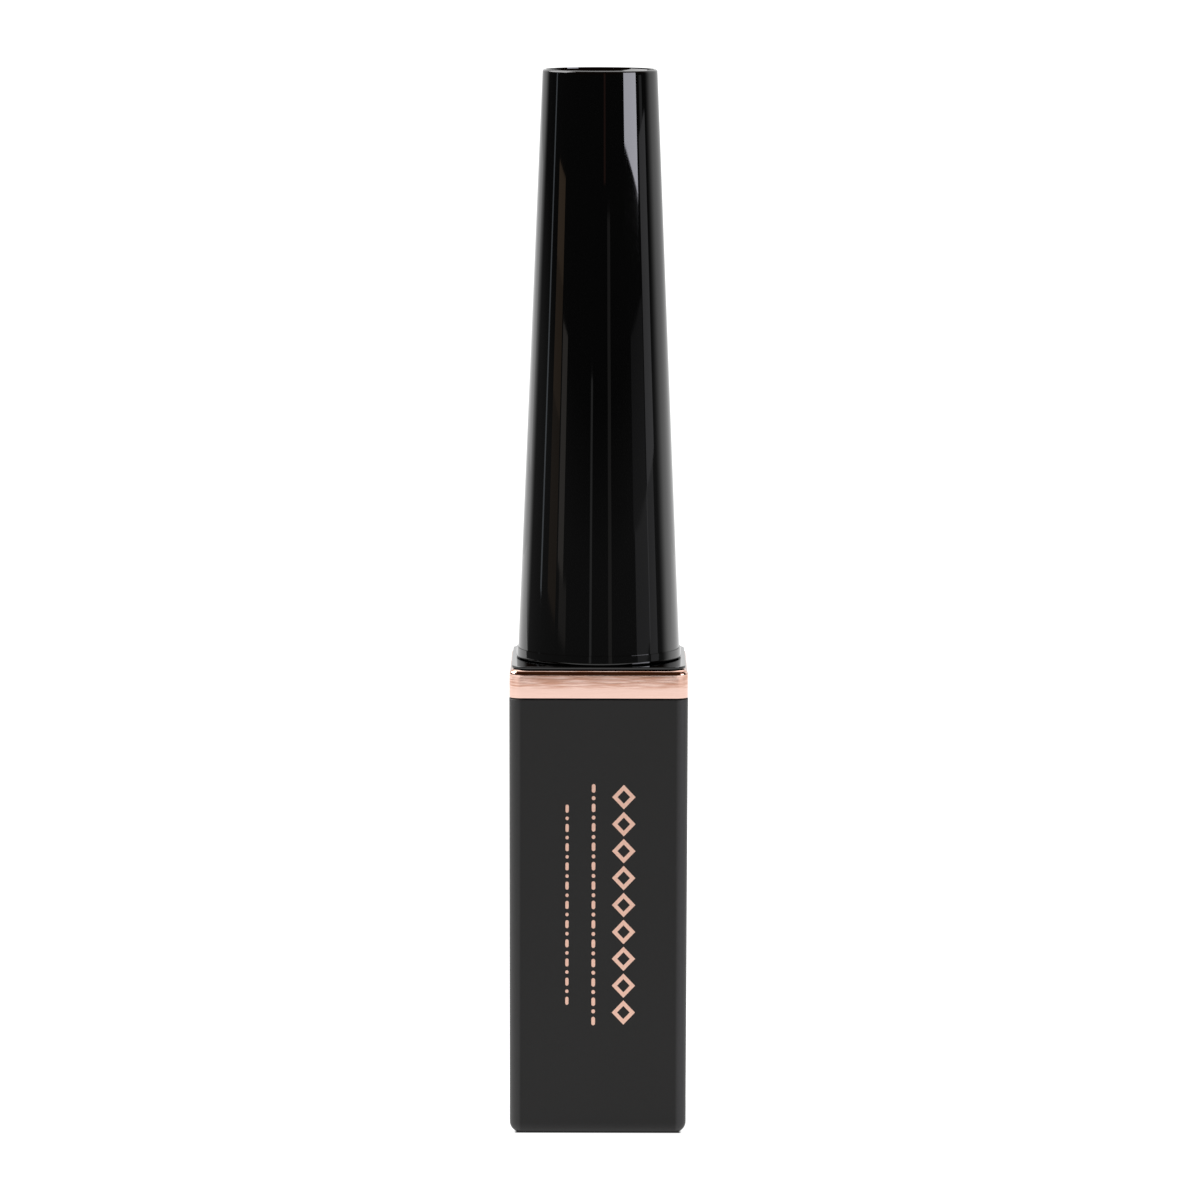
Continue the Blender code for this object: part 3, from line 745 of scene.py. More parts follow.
# %% Vial
VIAL_STEPS = 160
VIAL_RADIUS = 6.85 * MM
VIAL_WALL = 1.0 * MM
VIAL_FLOOR = 1.2 * MM
VIAL_SHOULDER = 1.4 * MM
VIAL_FOOT_FILLET = 0.8 * MM
VIAL_INNER_FILLET = 0.6 * MM
VIAL_FLANGE = (5.45 * MM, 0.8 * MM)
NECK_RADIUS = 4.3 * MM
NECK_CORE = 3.9 * MM
NECK_BORE = 3.0 * MM
NECK_EDGE = 0.25 * MM
NECK_PLAIN = 1.2 * MM
NECK_STEP = 0.4 * MM
NECK_ROWS = 72
NECK_THREAD_START = 46.0 * MM
NECK_THREAD_TURNS = 1.95

vial_low, vial_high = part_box("inner_vial")
vial_shoulder = collar_low.z - SEAM
flange_top = plate_low.z - SEAM
thread_foot = plate_high.z + NECK_PLAIN


def threaded_vial():
    bottom, top = vial_low.z, vial_high.z
    shoulder = VIAL_RADIUS - VIAL_SHOULDER
    ceiling = vial_shoulder - VIAL_WALL
    bore = VIAL_RADIUS - VIAL_WALL
    foot = [(VIAL_RADIUS - 2 * VIAL_FOOT_FILLET, bottom)]
    foot += arc(VIAL_RADIUS - VIAL_FOOT_FILLET, bottom + VIAL_FOOT_FILLET, VIAL_FOOT_FILLET, -90, 0)
    body = arc(shoulder, vial_shoulder - VIAL_SHOULDER, VIAL_SHOULDER, 0, 90, 12)
    flange_radius, flange_height = VIAL_FLANGE
    neck = [(NECK_RADIUS, vial_shoulder), (NECK_RADIUS, flange_top - flange_height)]
    neck += [(flange_radius, flange_top - flange_height), (flange_radius, flange_top)]
    neck += [(NECK_RADIUS, flange_top), (NECK_RADIUS, thread_foot - NECK_STEP), (NECK_CORE, thread_foot)]
    rings = [even_ring(at, height, VIAL_STEPS) for at, height in foot + body + neck]
    thread_top = top - NECK_EDGE
    for i in range(1, NECK_ROWS + 1):
        height = thread_foot + (thread_top - thread_foot) * i / NECK_ROWS
        rings.append(threaded_ring(
            NECK_CORE, height, VIAL_STEPS, NECK_THREAD_START, NECK_THREAD_TURNS, NECK_RADIUS - NECK_CORE))
    inside = arc(NECK_CORE - NECK_EDGE, thread_top, NECK_EDGE, 15, 90, 5)
    inside += [(NECK_BORE, top), (NECK_BORE, ceiling)]
    fillet = VIAL_INNER_FILLET
    inside += arc(bore - fillet, ceiling - fillet, fillet, 90, 0)
    inside += arc(bore - fillet, bottom + VIAL_FLOOR + fillet, fillet, 0, -90)
    rings += [even_ring(at, height, VIAL_STEPS) for at, height in inside]
    return loft("threaded_vial", rings)


dress(threaded_vial(), "polypropylene", "bottle", "natural_polypropylene", "inner_vial")

# %% [markdown]
# ## The wiper
# A soft plug in the neck. Its cone ends in a thin lip that strips the liquid off the rod, so the rod comes
# out clean and only the brush is loaded.

# %% Wiper
WIPER_STEPS = 96
WIPER_RADIUS = 2.9 * MM
WIPER_WALL = 0.5 * MM
WIPER_HOLE = 1.4 * MM
WIPER_FLANGE = (3.7 * MM, 0.5 * MM)
WIPER_FLANGE_ROUND = 0.15 * MM
WIPER_MOUTH_ROUND = 0.2 * MM
WIPER_CONE = 2.8 * MM
WIPER_CONE_OFFSET = 0.4 * MM
WIPER_LIP = 0.5 * MM
WIPER_LIP_ROUND = 0.12 * MM
WIPER_LIP_BREAK = 0.1 * MM

wiper_low, wiper_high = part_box("neck_wiper")


def lipped_wiper():
    top, lip = wiper_high.z, wiper_low.z
    inner = WIPER_RADIUS - WIPER_WALL
    flange_radius, flange_height = WIPER_FLANGE
    cone = lip + WIPER_CONE
    outer_lip = WIPER_HOLE + WIPER_LIP
    profile = arc(WIPER_HOLE + WIPER_LIP_ROUND, lip + WIPER_LIP_ROUND, WIPER_LIP_ROUND, 180, 270, 4)
    profile += [(outer_lip - WIPER_LIP_ROUND, lip), (outer_lip, lip + WIPER_LIP_BREAK)]
    profile += [(WIPER_RADIUS, cone), (WIPER_RADIUS, top - flange_height)]
    profile += [(flange_radius, top - flange_height)]
    profile += arc(flange_radius - WIPER_FLANGE_ROUND, top - WIPER_FLANGE_ROUND, WIPER_FLANGE_ROUND, 0, 90, 4)
    profile += arc(inner + WIPER_MOUTH_ROUND, top - WIPER_MOUTH_ROUND, WIPER_MOUTH_ROUND, 90, 180, 5)
    profile += [(inner, cone + WIPER_CONE_OFFSET), (WIPER_HOLE, lip + WIPER_CONE_OFFSET)]
    return spin("lipped_wiper", profile, WIPER_STEPS, joined=True)


dress(lipped_wiper(), "polyethylene", "bottle", "natural_polyethylene", "neck_wiper")

# %% [markdown]
# ## The liner
# A milky liner is pressed into the cap. Eight ribs hold it in the tapered shell, its skirt carries the
# inner thread, and the socket on its deck grips the head of the rod. The skirt is a stack of rings like
# the neck, and the ribs are joined to it with a Boolean, as they would be cut into one mould.

# %% Liner
LINER_STEPS = 160
LINER_BORE = 4.45 * MM
LINER_RADIUS = 5.35 * MM
LINER_DECK = 1.2 * MM
DECK_FILLET = 0.3 * MM
SKIRT_ROUND = 0.15 * MM
SKIRT_LEAD = 0.3 * MM
LINER_SOCKET = (2.65 * MM, 3.45 * MM)
SOCKET_BREAK = 0.15 * MM
SOCKET_FILLET = 0.2 * MM
LINER_ROWS = 84
LINER_THREAD_START = NECK_THREAD_START - THREAD_PITCH / 2
LINER_THREAD_TURNS = 2.4
LINER_THREAD_DEPTH = 0.38 * MM
RIB_COUNT = 8
RIB_THICKNESS = 0.7 * MM
RIB_START = 0.5 * MM
RIB_ROOT = 0.3 * MM
RIB_BREAK = 0.08 * MM
ROD_HOLE = 1.4 * MM

liner_low, liner_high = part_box("inner_cap")
washer_low, washer_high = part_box("seal_washer")
deck = washer_high.z + SEAM
deck_top = deck + LINER_DECK


def liner_body():
    bottom, top = liner_low.z, liner_high.z
    socket, socket_wall = LINER_SOCKET
    outside = [(socket, deck_top), (socket, top - SOCKET_BREAK), (socket + SOCKET_BREAK, top)]
    outside += [(socket_wall - SOCKET_BREAK, top), (socket_wall, top - SOCKET_BREAK)]
    outside += arc(socket_wall + SOCKET_FILLET, deck_top + SOCKET_FILLET, SOCKET_FILLET, 180, 270, 4)
    outside += arc(LINER_RADIUS - DECK_FILLET, deck_top - DECK_FILLET, DECK_FILLET, 90, 0, 5)
    outside += arc(LINER_RADIUS - SKIRT_ROUND, bottom + SKIRT_ROUND, SKIRT_ROUND, 0, -90, 4)
    outside += [(LINER_BORE + SKIRT_LEAD, bottom)]
    rings = [even_ring(at, height, LINER_STEPS) for at, height in outside]
    first = bottom + SKIRT_LEAD
    for i in range(LINER_ROWS + 1):
        height = first + (deck - first) * i / LINER_ROWS
        rings.append(threaded_ring(
            LINER_BORE, height, LINER_STEPS, LINER_THREAD_START, LINER_THREAD_TURNS, -LINER_THREAD_DEPTH))
    rings += [even_ring(ROD_HOLE, height, LINER_STEPS) for height in (deck, deck_top)]
    return loft("ribbed_liner", rings, joined=True)


def liner_rib(angle):
    """One rib, from inside the skirt's wall out to the cap's tapered inner wall."""
    low, high = liner_low.z + RIB_START, deck_top - DECK_FILLET
    bm = bmesh.new()
    bmesh.ops.create_cube(bm, size=1)
    for vertex in bm.verts:
        height = high if vertex.co.z > 0 else low
        reach = cap_radius(height - cap_low.z) - CAP_WALL - SEAM
        side = math.copysign(RIB_THICKNESS / 2, vertex.co.y)
        vertex.co = Vector((reach if vertex.co.x > 0 else LINER_RADIUS - RIB_ROOT, side, height))
    bmesh.ops.bevel(bm, geom=list(bm.edges), offset=RIB_BREAK, segments=2, profile=0.5, affect="EDGES")
    bmesh.ops.rotate(bm, verts=bm.verts, cent=Vector(), matrix=Matrix.Rotation(angle, 3, "Z"))
    return as_object("liner_rib", bm)


def ribbed_liner():
    liner = liner_body()
    ribs = [liner_rib(math.tau * i / RIB_COUNT) for i in range(RIB_COUNT)]
    for rib in ribs:
        step = liner.modifiers.new("join_rib", "BOOLEAN")
        step.operation = "UNION"
        step.object = rib
    graph = bpy.context.evaluated_depsgraph_get()
    joined = bpy.data.meshes.new_from_object(liner.evaluated_get(graph))
    liner.modifiers.clear()
    liner.data = joined
    joined.shade_smooth()
    joined.set_sharp_from_angle(angle=SHARP_ANGLE)
    for rib in ribs:
        bpy.data.objects.remove(rib)
    return liner


dress(ribbed_liner(), "polypropylene", "cap", "natural_polypropylene", "inner_cap")

# %% [markdown]
# ## The washer
# Punched foam. The punch squeezes it, so its cut edges bulge a little between the two faces.

# %% Washer
WASHER_STEPS = 96
WASHER_ROWS = 6
WASHER_RADIUS = 4.35 * MM
WASHER_BULGE = 0.04 * MM


def foam_washer():
    low, high = washer_low.z, washer_high.z
    shares = [i / WASHER_ROWS for i in range(WASHER_ROWS + 1)]
    profile = []
    for base, outward, order in ((WASHER_RADIUS, 1, shares), (ROD_HOLE, -1, shares[::-1])):
        for share in order:
            bulge = WASHER_BULGE * (math.sin(math.pi * share) - 1) * outward
            profile.append((base + bulge, low + (high - low) * share))
    return spin("foam_washer", profile, WASHER_STEPS, joined=True)


dress(foam_washer(), "foam", "cap", "white_foam", "seal_washer")

# %% [markdown]
# ## The wand
# A thin rod with a barbed head, pressed into the liner's socket. The barbs let it in and not out. At its
# foot the rod steps down to a spigot that fills the ferrule's upper half.

# %% Rod
ROD_STEPS = 96
ROD_RADIUS = 1.3 * MM
ROD_FOOT_FILLET = 0.2 * MM
ROD_HEAD = (2.55 * MM, 4.6 * MM)
ROD_HEAD_CHAMFER = 0.3 * MM
ROD_SPIGOT = (0.7 * MM, 2.0 * MM)
ROD_BARBS = 3
ROD_BARB_PITCH = 1.1 * MM
ROD_BARB_DEPTH = 0.15 * MM
ROD_BARB_EDGE = (0.02 * MM, 0.06 * MM)

rod_low, rod_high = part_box("applicator_rod")
rod_foot = rod_low.z + ROD_SPIGOT[1]


def barbed_rod():
    head, head_height = ROD_HEAD
    top = rod_high.z
    neck = top - head_height
    fillet = ROD_FOOT_FILLET
    edge, edge_foot = ROD_BARB_EDGE
    profile = [(head - ROD_HEAD_CHAMFER, top), (head, top - ROD_HEAD_CHAMFER)]
    for i in range(1, ROD_BARBS + 1):
        barb = top - ROD_HEAD_CHAMFER - ROD_BARB_PITCH * i
        profile += [(head - ROD_BARB_DEPTH, barb), (head - edge, barb - edge), (head, barb - edge_foot)]
    profile += [(head, neck), (ROD_RADIUS, neck), (ROD_RADIUS, rod_foot + fillet + SUPPORT)]
    profile += arc(ROD_RADIUS - fillet, rod_foot + fillet, fillet, 0, -90, 6)
    profile += [(ROD_SPIGOT[0], rod_foot), (ROD_SPIGOT[0], rod_low.z)]
    return spin("barbed_rod", profile, ROD_STEPS)


dress(barbed_rod(), "rod", "wand", "black_rod_plastic", "applicator_rod")

# %% [markdown]
# The ferrule is a tube 0.3 mm thick. Two rolled crimps close it, one on the rod's spigot and one on the
# root of the brush, and each is a smooth dip in its wall.

# %% Ferrule
FERRULE_STEPS = 72
FERRULE_ROWS = 64
FERRULE_RADIUS = 1.1 * MM
FERRULE_BORE = 0.8 * MM
FERRULE_EDGE = 0.1 * MM
FERRULE_CRIMP_DEPTH = 0.08 * MM
FERRULE_CRIMP_WIDTH = 0.5 * MM
FERRULE_CRIMP_SHARES = (0.3, 0.72)

ferrule_low, ferrule_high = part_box("brush_ferrule")
ferrule_length = ferrule_high.z - ferrule_low.z


def crimped_wall(height):
    """The tube's outer radius at a height above its foot."""
    dip = sum(
        smooth(1 - abs(height - share * ferrule_length) * 2 / FERRULE_CRIMP_WIDTH)
        for share in FERRULE_CRIMP_SHARES
    )
    return FERRULE_RADIUS - FERRULE_CRIMP_DEPTH * dip


def crimped_ferrule():
    edge = FERRULE_EDGE
    profile = [(FERRULE_BORE, ferrule_low.z), (FERRULE_RADIUS - edge, ferrule_low.z)]
    for i in range(FERRULE_ROWS + 1):
        height = edge + (ferrule_length - edge - edge) * i / FERRULE_ROWS
        profile.append((crimped_wall(height), ferrule_low.z + height))
    profile += [(FERRULE_RADIUS - edge, ferrule_high.z), (FERRULE_BORE, ferrule_high.z)]
    return spin("crimped_ferrule", profile, FERRULE_STEPS, joined=True)


dress(crimped_ferrule(), "steel", "wand", "steel_ferrule", "brush_ferrule")

# %% [markdown]
# ## The brush
# A liner brush is a bundle of tapered fibres that all reach for one point. Each fibre keeps its own
# place in the bundle, a share of the way out from the middle, while the bundle swells a little under
# the ferrule and then closes to the tip, so no two fibres can cross. The places follow the spiral that
# packs seeds evenly in a sunflower. The outer fibres end a little sooner than the middle ones, and each
# by a small chance of its own.

# %% Brush
FIBRE_COUNT = 260
FIBRE_SIDES = 5
FIBRE_ROWS = 12
FIBRE_ROW_SPREAD = 0.85
FIBRE_RADIUS = 0.034 * MM
FIBRE_TAPER_START_SHARE = 0.3
FIBRE_THINNING_SHARE = 0.72
FIBRE_LONGEST_SHARE = 0.992
FIBRE_OUTER_LOSS_SHARE = 0.2
FIBRE_UNEVEN_SHARE = 0.05
BRUSH_FREE = 7.0 * MM
BRUSH_HELD = 1.9 * MM
BRUSH_ROOT_RADIUS = 0.66 * MM
BRUSH_BELLY = 0.07 * MM
BRUSH_BELLY_END_SHARE = 0.44
BRUSH_TAPER_START_SHARE = 0.22
BRUSH_CLOSED_SHARE = 0.995
GOLDEN_ANGLE = math.pi * (3 - math.sqrt(5))


def bundle_radius(share):
    """The bundle's radius from the ferrule, at share 0, to the point, at share 1."""
    belly = BRUSH_BELLY * math.sin(math.pi * min(share / BRUSH_BELLY_END_SHARE, 1))
    taper = max(share - BRUSH_TAPER_START_SHARE, 0) / (1 - BRUSH_TAPER_START_SHARE)
    slim = math.sqrt(1 - taper) * (1 - taper / 4)
    return BRUSH_ROOT_RADIUS * slim + belly


def fibre(bm, place, angle, length_share):
    """One tapered fibre at a place in the bundle, from inside the ferrule to its own end."""
    root = ferrule_low.z + BRUSH_HELD
    end = ferrule_low.z - BRUSH_FREE * length_share
    outward = Vector((math.cos(angle), math.sin(angle), 0))
    rows = []
    for i in range(FIBRE_ROWS + 1):
        height = root + (end - root) * (i / FIBRE_ROWS) ** FIBRE_ROW_SPREAD
        below = max(0.0, (ferrule_low.z - height) / BRUSH_FREE)
        middle = outward * place * bundle_radius(min(below, BRUSH_CLOSED_SHARE))
        tapered = (below / length_share - FIBRE_TAPER_START_SHARE) / (1 - FIBRE_TAPER_START_SHARE)
        thickness = FIBRE_RADIUS * (1 - FIBRE_THINNING_SHARE * smooth(tapered))
        rows.append([bm.verts.new(middle + point) for point in even_ring(thickness, height, FIBRE_SIDES)])
    for upper, lower in zip(rows, rows[1:]):
        for side in range(FIBRE_SIDES):
            after = (side + 1) % FIBRE_SIDES
            bm.faces.new((upper[side], lower[side], lower[after], upper[after]))
    bm.faces.new(rows[0])
    bm.faces.new(list(reversed(rows[-1])))


def fibre_brush():
    chance = random.Random(7)
    bm = bmesh.new()
    for i in range(FIBRE_COUNT):
        place = math.sqrt((i + 0.5) / FIBRE_COUNT) * (1 - FIBRE_RADIUS / BRUSH_ROOT_RADIUS)
        shorter = FIBRE_OUTER_LOSS_SHARE * place**2 + FIBRE_UNEVEN_SHARE * chance.random()
        fibre(bm, place, i * GOLDEN_ANGLE, FIBRE_LONGEST_SHARE - shorter)
    bmesh.ops.recalc_face_normals(bm, faces=bm.faces)
    return as_object("fibre_brush", bm)


dress(fibre_brush(), "fibre", "wand", "black_bristle", "brush_tip")

# %% [markdown]
# ## The foil ornament
# The front of the case carries a foil ornament in three upright lines: a bold chain of lozenges, and two
# fine lines of beads and dashes beside it. Each mark is a flat outline, thickened by the depth of the
# foil, and laid on the case's leaning face with half of that depth pressed in.

# %% Foil marks
FOIL_THICKNESS = 0.012 * MM
FOIL_SINK = 0.006 * MM


def outline_mark(bm, outer, inner=None):
    """A flat mark, or a frame between two outlines of as many points, on the front of the case."""
    loops = [outer] + ([inner] if inner else [])
    layers = []
    for depth in (FOIL_SINK, FOIL_SINK - FOIL_THICKNESS):
        layers.append([
            [bm.verts.new((across, -case_side(up) + depth, up)) for across, up in loop] for loop in loops
        ])
    count = len(outer)
    for k in range(len(loops)):
        for i in range(count):
            j = (i + 1) % count
            bm.faces.new((layers[0][k][i], layers[0][k][j], layers[1][k][j], layers[1][k][i]))
    for layer in layers:
        if inner:
            for i in range(count):
                j = (i + 1) % count
                bm.faces.new((layer[0][i], layer[0][j], layer[1][j], layer[1][i]))
        else:
            bm.faces.new(layer[0])


def lozenge(across, up, half_width, half_height):
    return [
        (across + half_width, up), (across, up + half_height),
        (across - half_width, up), (across, up - half_height),
    ]


def stadium(across, up, half_width, half_height, steps=6):
    """An upright bar with round ends."""
    points = []
    for start, side in ((0, 1), (180, -1)):
        for i in range(steps + 1):
            angle = math.radians(start + 180 * i / steps)
            points.append((
                across + half_width * math.cos(angle),
                up + side * (half_height - half_width) + half_width * math.sin(angle)))
    return points


# %% Lay out the ornament
FOIL_TOP = 32.9 * MM
FOIL_BOTTOM = 10.2 * MM
CHAIN_AT = 2.35 * MM
CHAIN_HALF_WIDTH = 1.08 * MM
CHAIN_LINKS = 9
CHAIN_HALF_GAP = 0.12 * MM
CHAIN_STROKE = 0.36 * MM
# across, top, bottom, number of marks, half width, half a long mark, half a short mark
BEAD_LINE = (-0.44 * MM, FOIL_TOP, FOIL_BOTTOM, 25, 0.17 * MM, 0.4 * MM, 0.19 * MM)
DASH_LINE = (-2.88 * MM, 31.0 * MM, 12.1 * MM, 21, 0.15 * MM, 0.38 * MM, 0.17 * MM)


def lozenge_chain(bm):
    """Hollow lozenges. Their inner outline keeps the stroke equally wide all round."""
    pitch = (FOIL_TOP - FOIL_BOTTOM) / CHAIN_LINKS
    half_width, half_height = CHAIN_HALF_WIDTH, pitch / 2 - CHAIN_HALF_GAP
    shrink = CHAIN_STROKE * math.hypot(half_width, half_height)
    for i in range(CHAIN_LINKS):
        up = FOIL_TOP - pitch * (i + 0.5)
        outer = lozenge(CHAIN_AT, up, half_width, half_height)
        inner = lozenge(CHAIN_AT, up, half_width - shrink / half_height, half_height - shrink / half_width)
        outline_mark(bm, outer, inner)


def fine_line(bm, across, top, bottom, count, half_width, long_half, short_half):
    """Upright dashes, long and short by turns."""
    pitch = (top - bottom) / count
    for i in range(count):
        half = long_half if i % 2 == 0 else short_half
        outline_mark(bm, stadium(across, top - pitch * (i + 0.5), half_width, half))


def foil_ornament():
    bm = bmesh.new()
    lozenge_chain(bm)
    fine_line(bm, *BEAD_LINE)
    fine_line(bm, *DASH_LINE)
    bmesh.ops.recalc_face_normals(bm, faces=bm.faces)
    return as_object("foil_ornament", bm)


dress(foil_ornament(), "foil", "bottle", "rose_gold_metallised")

# %% [markdown]
# ## The table
# The object stands on a small light table: a sheet of white acrylic, lit from below much more than from
# above, so that no shadow shows on it. Right under the foot and just past it, its glow and colour are
# turned down: a painted contact shadow, which leaves the thin dark line that grounds the bottle. The table
# ends not far in front of the bottle. Past its edge the room is dark, and that is why the front of the
# gloss cap is so black.

# %% Table
TABLE_FRONT = -0.4
TABLE_BACK = 0.5
TABLE_HALF_WIDTH = 0.42
TABLE_CLOUD_MM = 60
TABLE_GLOW = 1.0
# Half sizes of the painted contact shadow round the foot, and how much glow and colour it leaves.
TABLE_PAINTED_SHADOW = (7.5 * MM, 7.85 * MM)
TABLE_PAINTED_SHADOW_LEVEL = 0.03


def white_table():
    bm = bmesh.new()
    bmesh.ops.create_grid(bm, x_segments=8, y_segments=8, size=1)
    for vertex in bm.verts:
        deep = TABLE_FRONT + (TABLE_BACK - TABLE_FRONT) * (vertex.co.y + 1) / 2
        vertex.co = Vector((vertex.co.x * TABLE_HALF_WIDTH, deep, 0))
    return as_object("light_table", bm)


def lit_acrylic():
    made, tree = new_material("lit_white_acrylic")
    place = add_node(tree, "ShaderNodeTexCoord").outputs["Object"]
    cloud = add_node(tree, "ShaderNodeTexNoise", {}, {
        "Vector": place, "Scale": per_mm(TABLE_CLOUD_MM), "Detail": 2.0})
    # Painted contact shadow: under and just past the foot, the sheet's glow and colour drop to a few
    # hundredths.
    farther = compare_sides(tree, place, "MAXIMUM")
    clear = add_node(tree, "ShaderNodeMapRange", {"interpolation_type": "SMOOTHSTEP"}, {
        "Value": farther.outputs["Value"], "From Min": TABLE_PAINTED_SHADOW[0], "From Max": TABLE_PAINTED_SHADOW[1],
        "To Min": TABLE_PAINTED_SHADOW_LEVEL})
    tone = add_node(tree, "ShaderNodeMixRGB", {}, {
        "Fac": cloud.outputs["Fac"], "Color1": linear("767676"), "Color2": linear("7C7C7C")})
    seen = add_node(tree, "ShaderNodeVectorMath", {"operation": "SCALE"}, {
        "Vector": tone.outputs["Color"], "Scale": clear.outputs["Result"]})
    glow = add_node(tree, "ShaderNodeMath", {"operation": "MULTIPLY"}, {
        0: clear.outputs["Result"], 1: TABLE_GLOW})
    shader = add_node(tree, "ShaderNodeBsdfPrincipled", {}, {
        "Base Color": seen.outputs["Vector"], "Roughness": 0.9, "Specular IOR Level": 0.0,
        "Emission Color": (1, 1, 1, 1), "Emission Strength": glow.outputs["Value"]})
    finish_surface(tree, shader)
    return made


table = white_table()
table.data.materials.append(lit_acrylic())
print("table:", round(TABLE_BACK - TABLE_FRONT, 2), "m deep")

# %% [markdown]
# ## The light
# A white silk hangs over the bottle and mostly behind it. Behind stands a white backdrop, in front is a
# dim brown room, and both are the world's own light. Two questions settle it for any direction: how far
# round from the camera does it point, and how far up? The camera itself sees plain white past the table.

# %% Overhead silk
SILK_PLACE = (0, 0.42, 1.0)
SILK_SIZE = (1.5, 1.24)
SILK_LEVEL = 0.75


def glowing_panel(name, wide, tall, level):
    """An area lamp that looks as bright as its level, where 1 is white. Its energy follows from its area."""
    lamp = bpy.data.lights.new(name, "AREA")
    lamp.shape = "RECTANGLE"
    lamp.size, lamp.size_y = wide, tall
    lamp.energy = level * math.pi * wide * tall
    made = bpy.data.objects.new(name, lamp)
    bpy.context.scene.collection.objects.link(made)
    return made


glowing_panel("overhead_silk", *SILK_SIZE, SILK_LEVEL).location = SILK_PLACE
print("silk:", SILK_SIZE, "m,", SILK_PLACE[2], "m up")

# %% Room and backdrop
BACKDROP_LEFT = (-119, -137)
BACKDROP_RIGHT = (100, 122)
BACKDROP_LEVELS = ((-10, "FFFFFF"), (-4.5, "FFFFFF"), (-2.5, "DADADA"), (2, "DADADA"), (7, "FFFFFF"))
BACKDROP_STRENGTH = 1.15
ROOM_LEVELS = ((-10, "595959"), (-2, "565656"), (-0.5, "343434"), (5, "343434"), (10, "402813"))
LOWEST, HIGHEST = -10, 10
SEEN_WHITE = (1.2, 1.2, 1.2, 1)


def surroundings():
    world = bpy.data.worlds.new("studio")
    bpy.context.scene.world = world
    world.use_nodes = True
    tree = world.node_tree
    tree.nodes.clear()
    direction = add_node(tree, "ShaderNodeTexCoord").outputs["Generated"]
    axes = add_node(tree, "ShaderNodeSeparateXYZ", {}, {"Vector": direction})
    toward = add_node(tree, "ShaderNodeMath", {"operation": "MULTIPLY"}, {0: axes.outputs["Y"], 1: -1.0})
    angle = add_node(tree, "ShaderNodeMath", {"operation": "ARCTAN2"}, {
        0: axes.outputs["X"], 1: toward.outputs["Value"]})
    around = add_node(tree, "ShaderNodeMath", {"operation": "DEGREES"}, {0: angle.outputs["Value"]})
    sides = [
        add_node(tree, "ShaderNodeMapRange", {"interpolation_type": "SMOOTHSTEP"}, {
            "Value": around.outputs["Value"], "From Min": start, "From Max": end})
        for start, end in (BACKDROP_LEFT, BACKDROP_RIGHT)
    ]
    behind = add_node(tree, "ShaderNodeMath", {"operation": "MAXIMUM"}, {
        0: sides[0].outputs["Result"], 1: sides[1].outputs["Result"]})
    rise = add_node(tree, "ShaderNodeMath", {"operation": "ARCSINE"}, {0: axes.outputs["Z"]})
    up = add_node(tree, "ShaderNodeMath", {"operation": "DEGREES"}, {0: rise.outputs["Value"]})
    share = add_node(tree, "ShaderNodeMapRange", {}, {
        "Value": up.outputs["Value"], "From Min": LOWEST, "From Max": HIGHEST})
    room, backdrop = [
        add_node(tree, "ShaderNodeValToRGB", {}, {"Fac": share.outputs["Result"]}) for _ in range(2)
    ]
    for ramp, levels in ((room.color_ramp, ROOM_LEVELS), (backdrop.color_ramp, BACKDROP_LEVELS)):
        ramp.elements.remove(ramp.elements[1])
        for i, (height, colour) in enumerate(levels):
            stop = ramp.elements[0] if i == 0 else ramp.elements.new(1)
            stop.position = (height - LOWEST) / (HIGHEST - LOWEST)
            stop.color = linear(colour)
    bright = add_node(tree, "ShaderNodeVectorMath", {"operation": "SCALE"}, {
        "Vector": backdrop.outputs["Color"], "Scale": BACKDROP_STRENGTH})
    both = add_node(tree, "ShaderNodeMixRGB", {}, {
        "Fac": behind.outputs["Value"], "Color1": room.outputs["Color"], "Color2": bright.outputs["Vector"]})
    seen = add_node(tree, "ShaderNodeLightPath").outputs["Is Camera Ray"]
    shown = add_node(tree, "ShaderNodeMixRGB", {}, {
        "Fac": seen, "Color1": both.outputs["Color"], "Color2": SEEN_WHITE})
    background = add_node(tree, "ShaderNodeBackground", {}, {"Color": shown.outputs["Color"]})
    add_node(tree, "ShaderNodeOutputWorld", {}, {"Surface": background.outputs["Background"]})


surroundings()
print("backdrop from", BACKDROP_LEFT, "and", BACKDROP_RIGHT, "degrees round")

# %% [markdown]
# Every other light is upright and faces the bottle. Its place is an angle round the bottle, counted
# from the camera towards the right, with a width, a lowest and a highest elevation, all in degrees. Then
# come its brightness, its colour and, where it doesn't stand level, its roll. A tall softbox makes the
# one strong highlight, and its foot is a few degrees off level. The rest are dim things in the room,
# such as a stand, a door frame and the edge of a card, that the gloss picks up as thin lines. Only the
# silk on the left stands above the cap's mirror: it lights the bottle's corner.

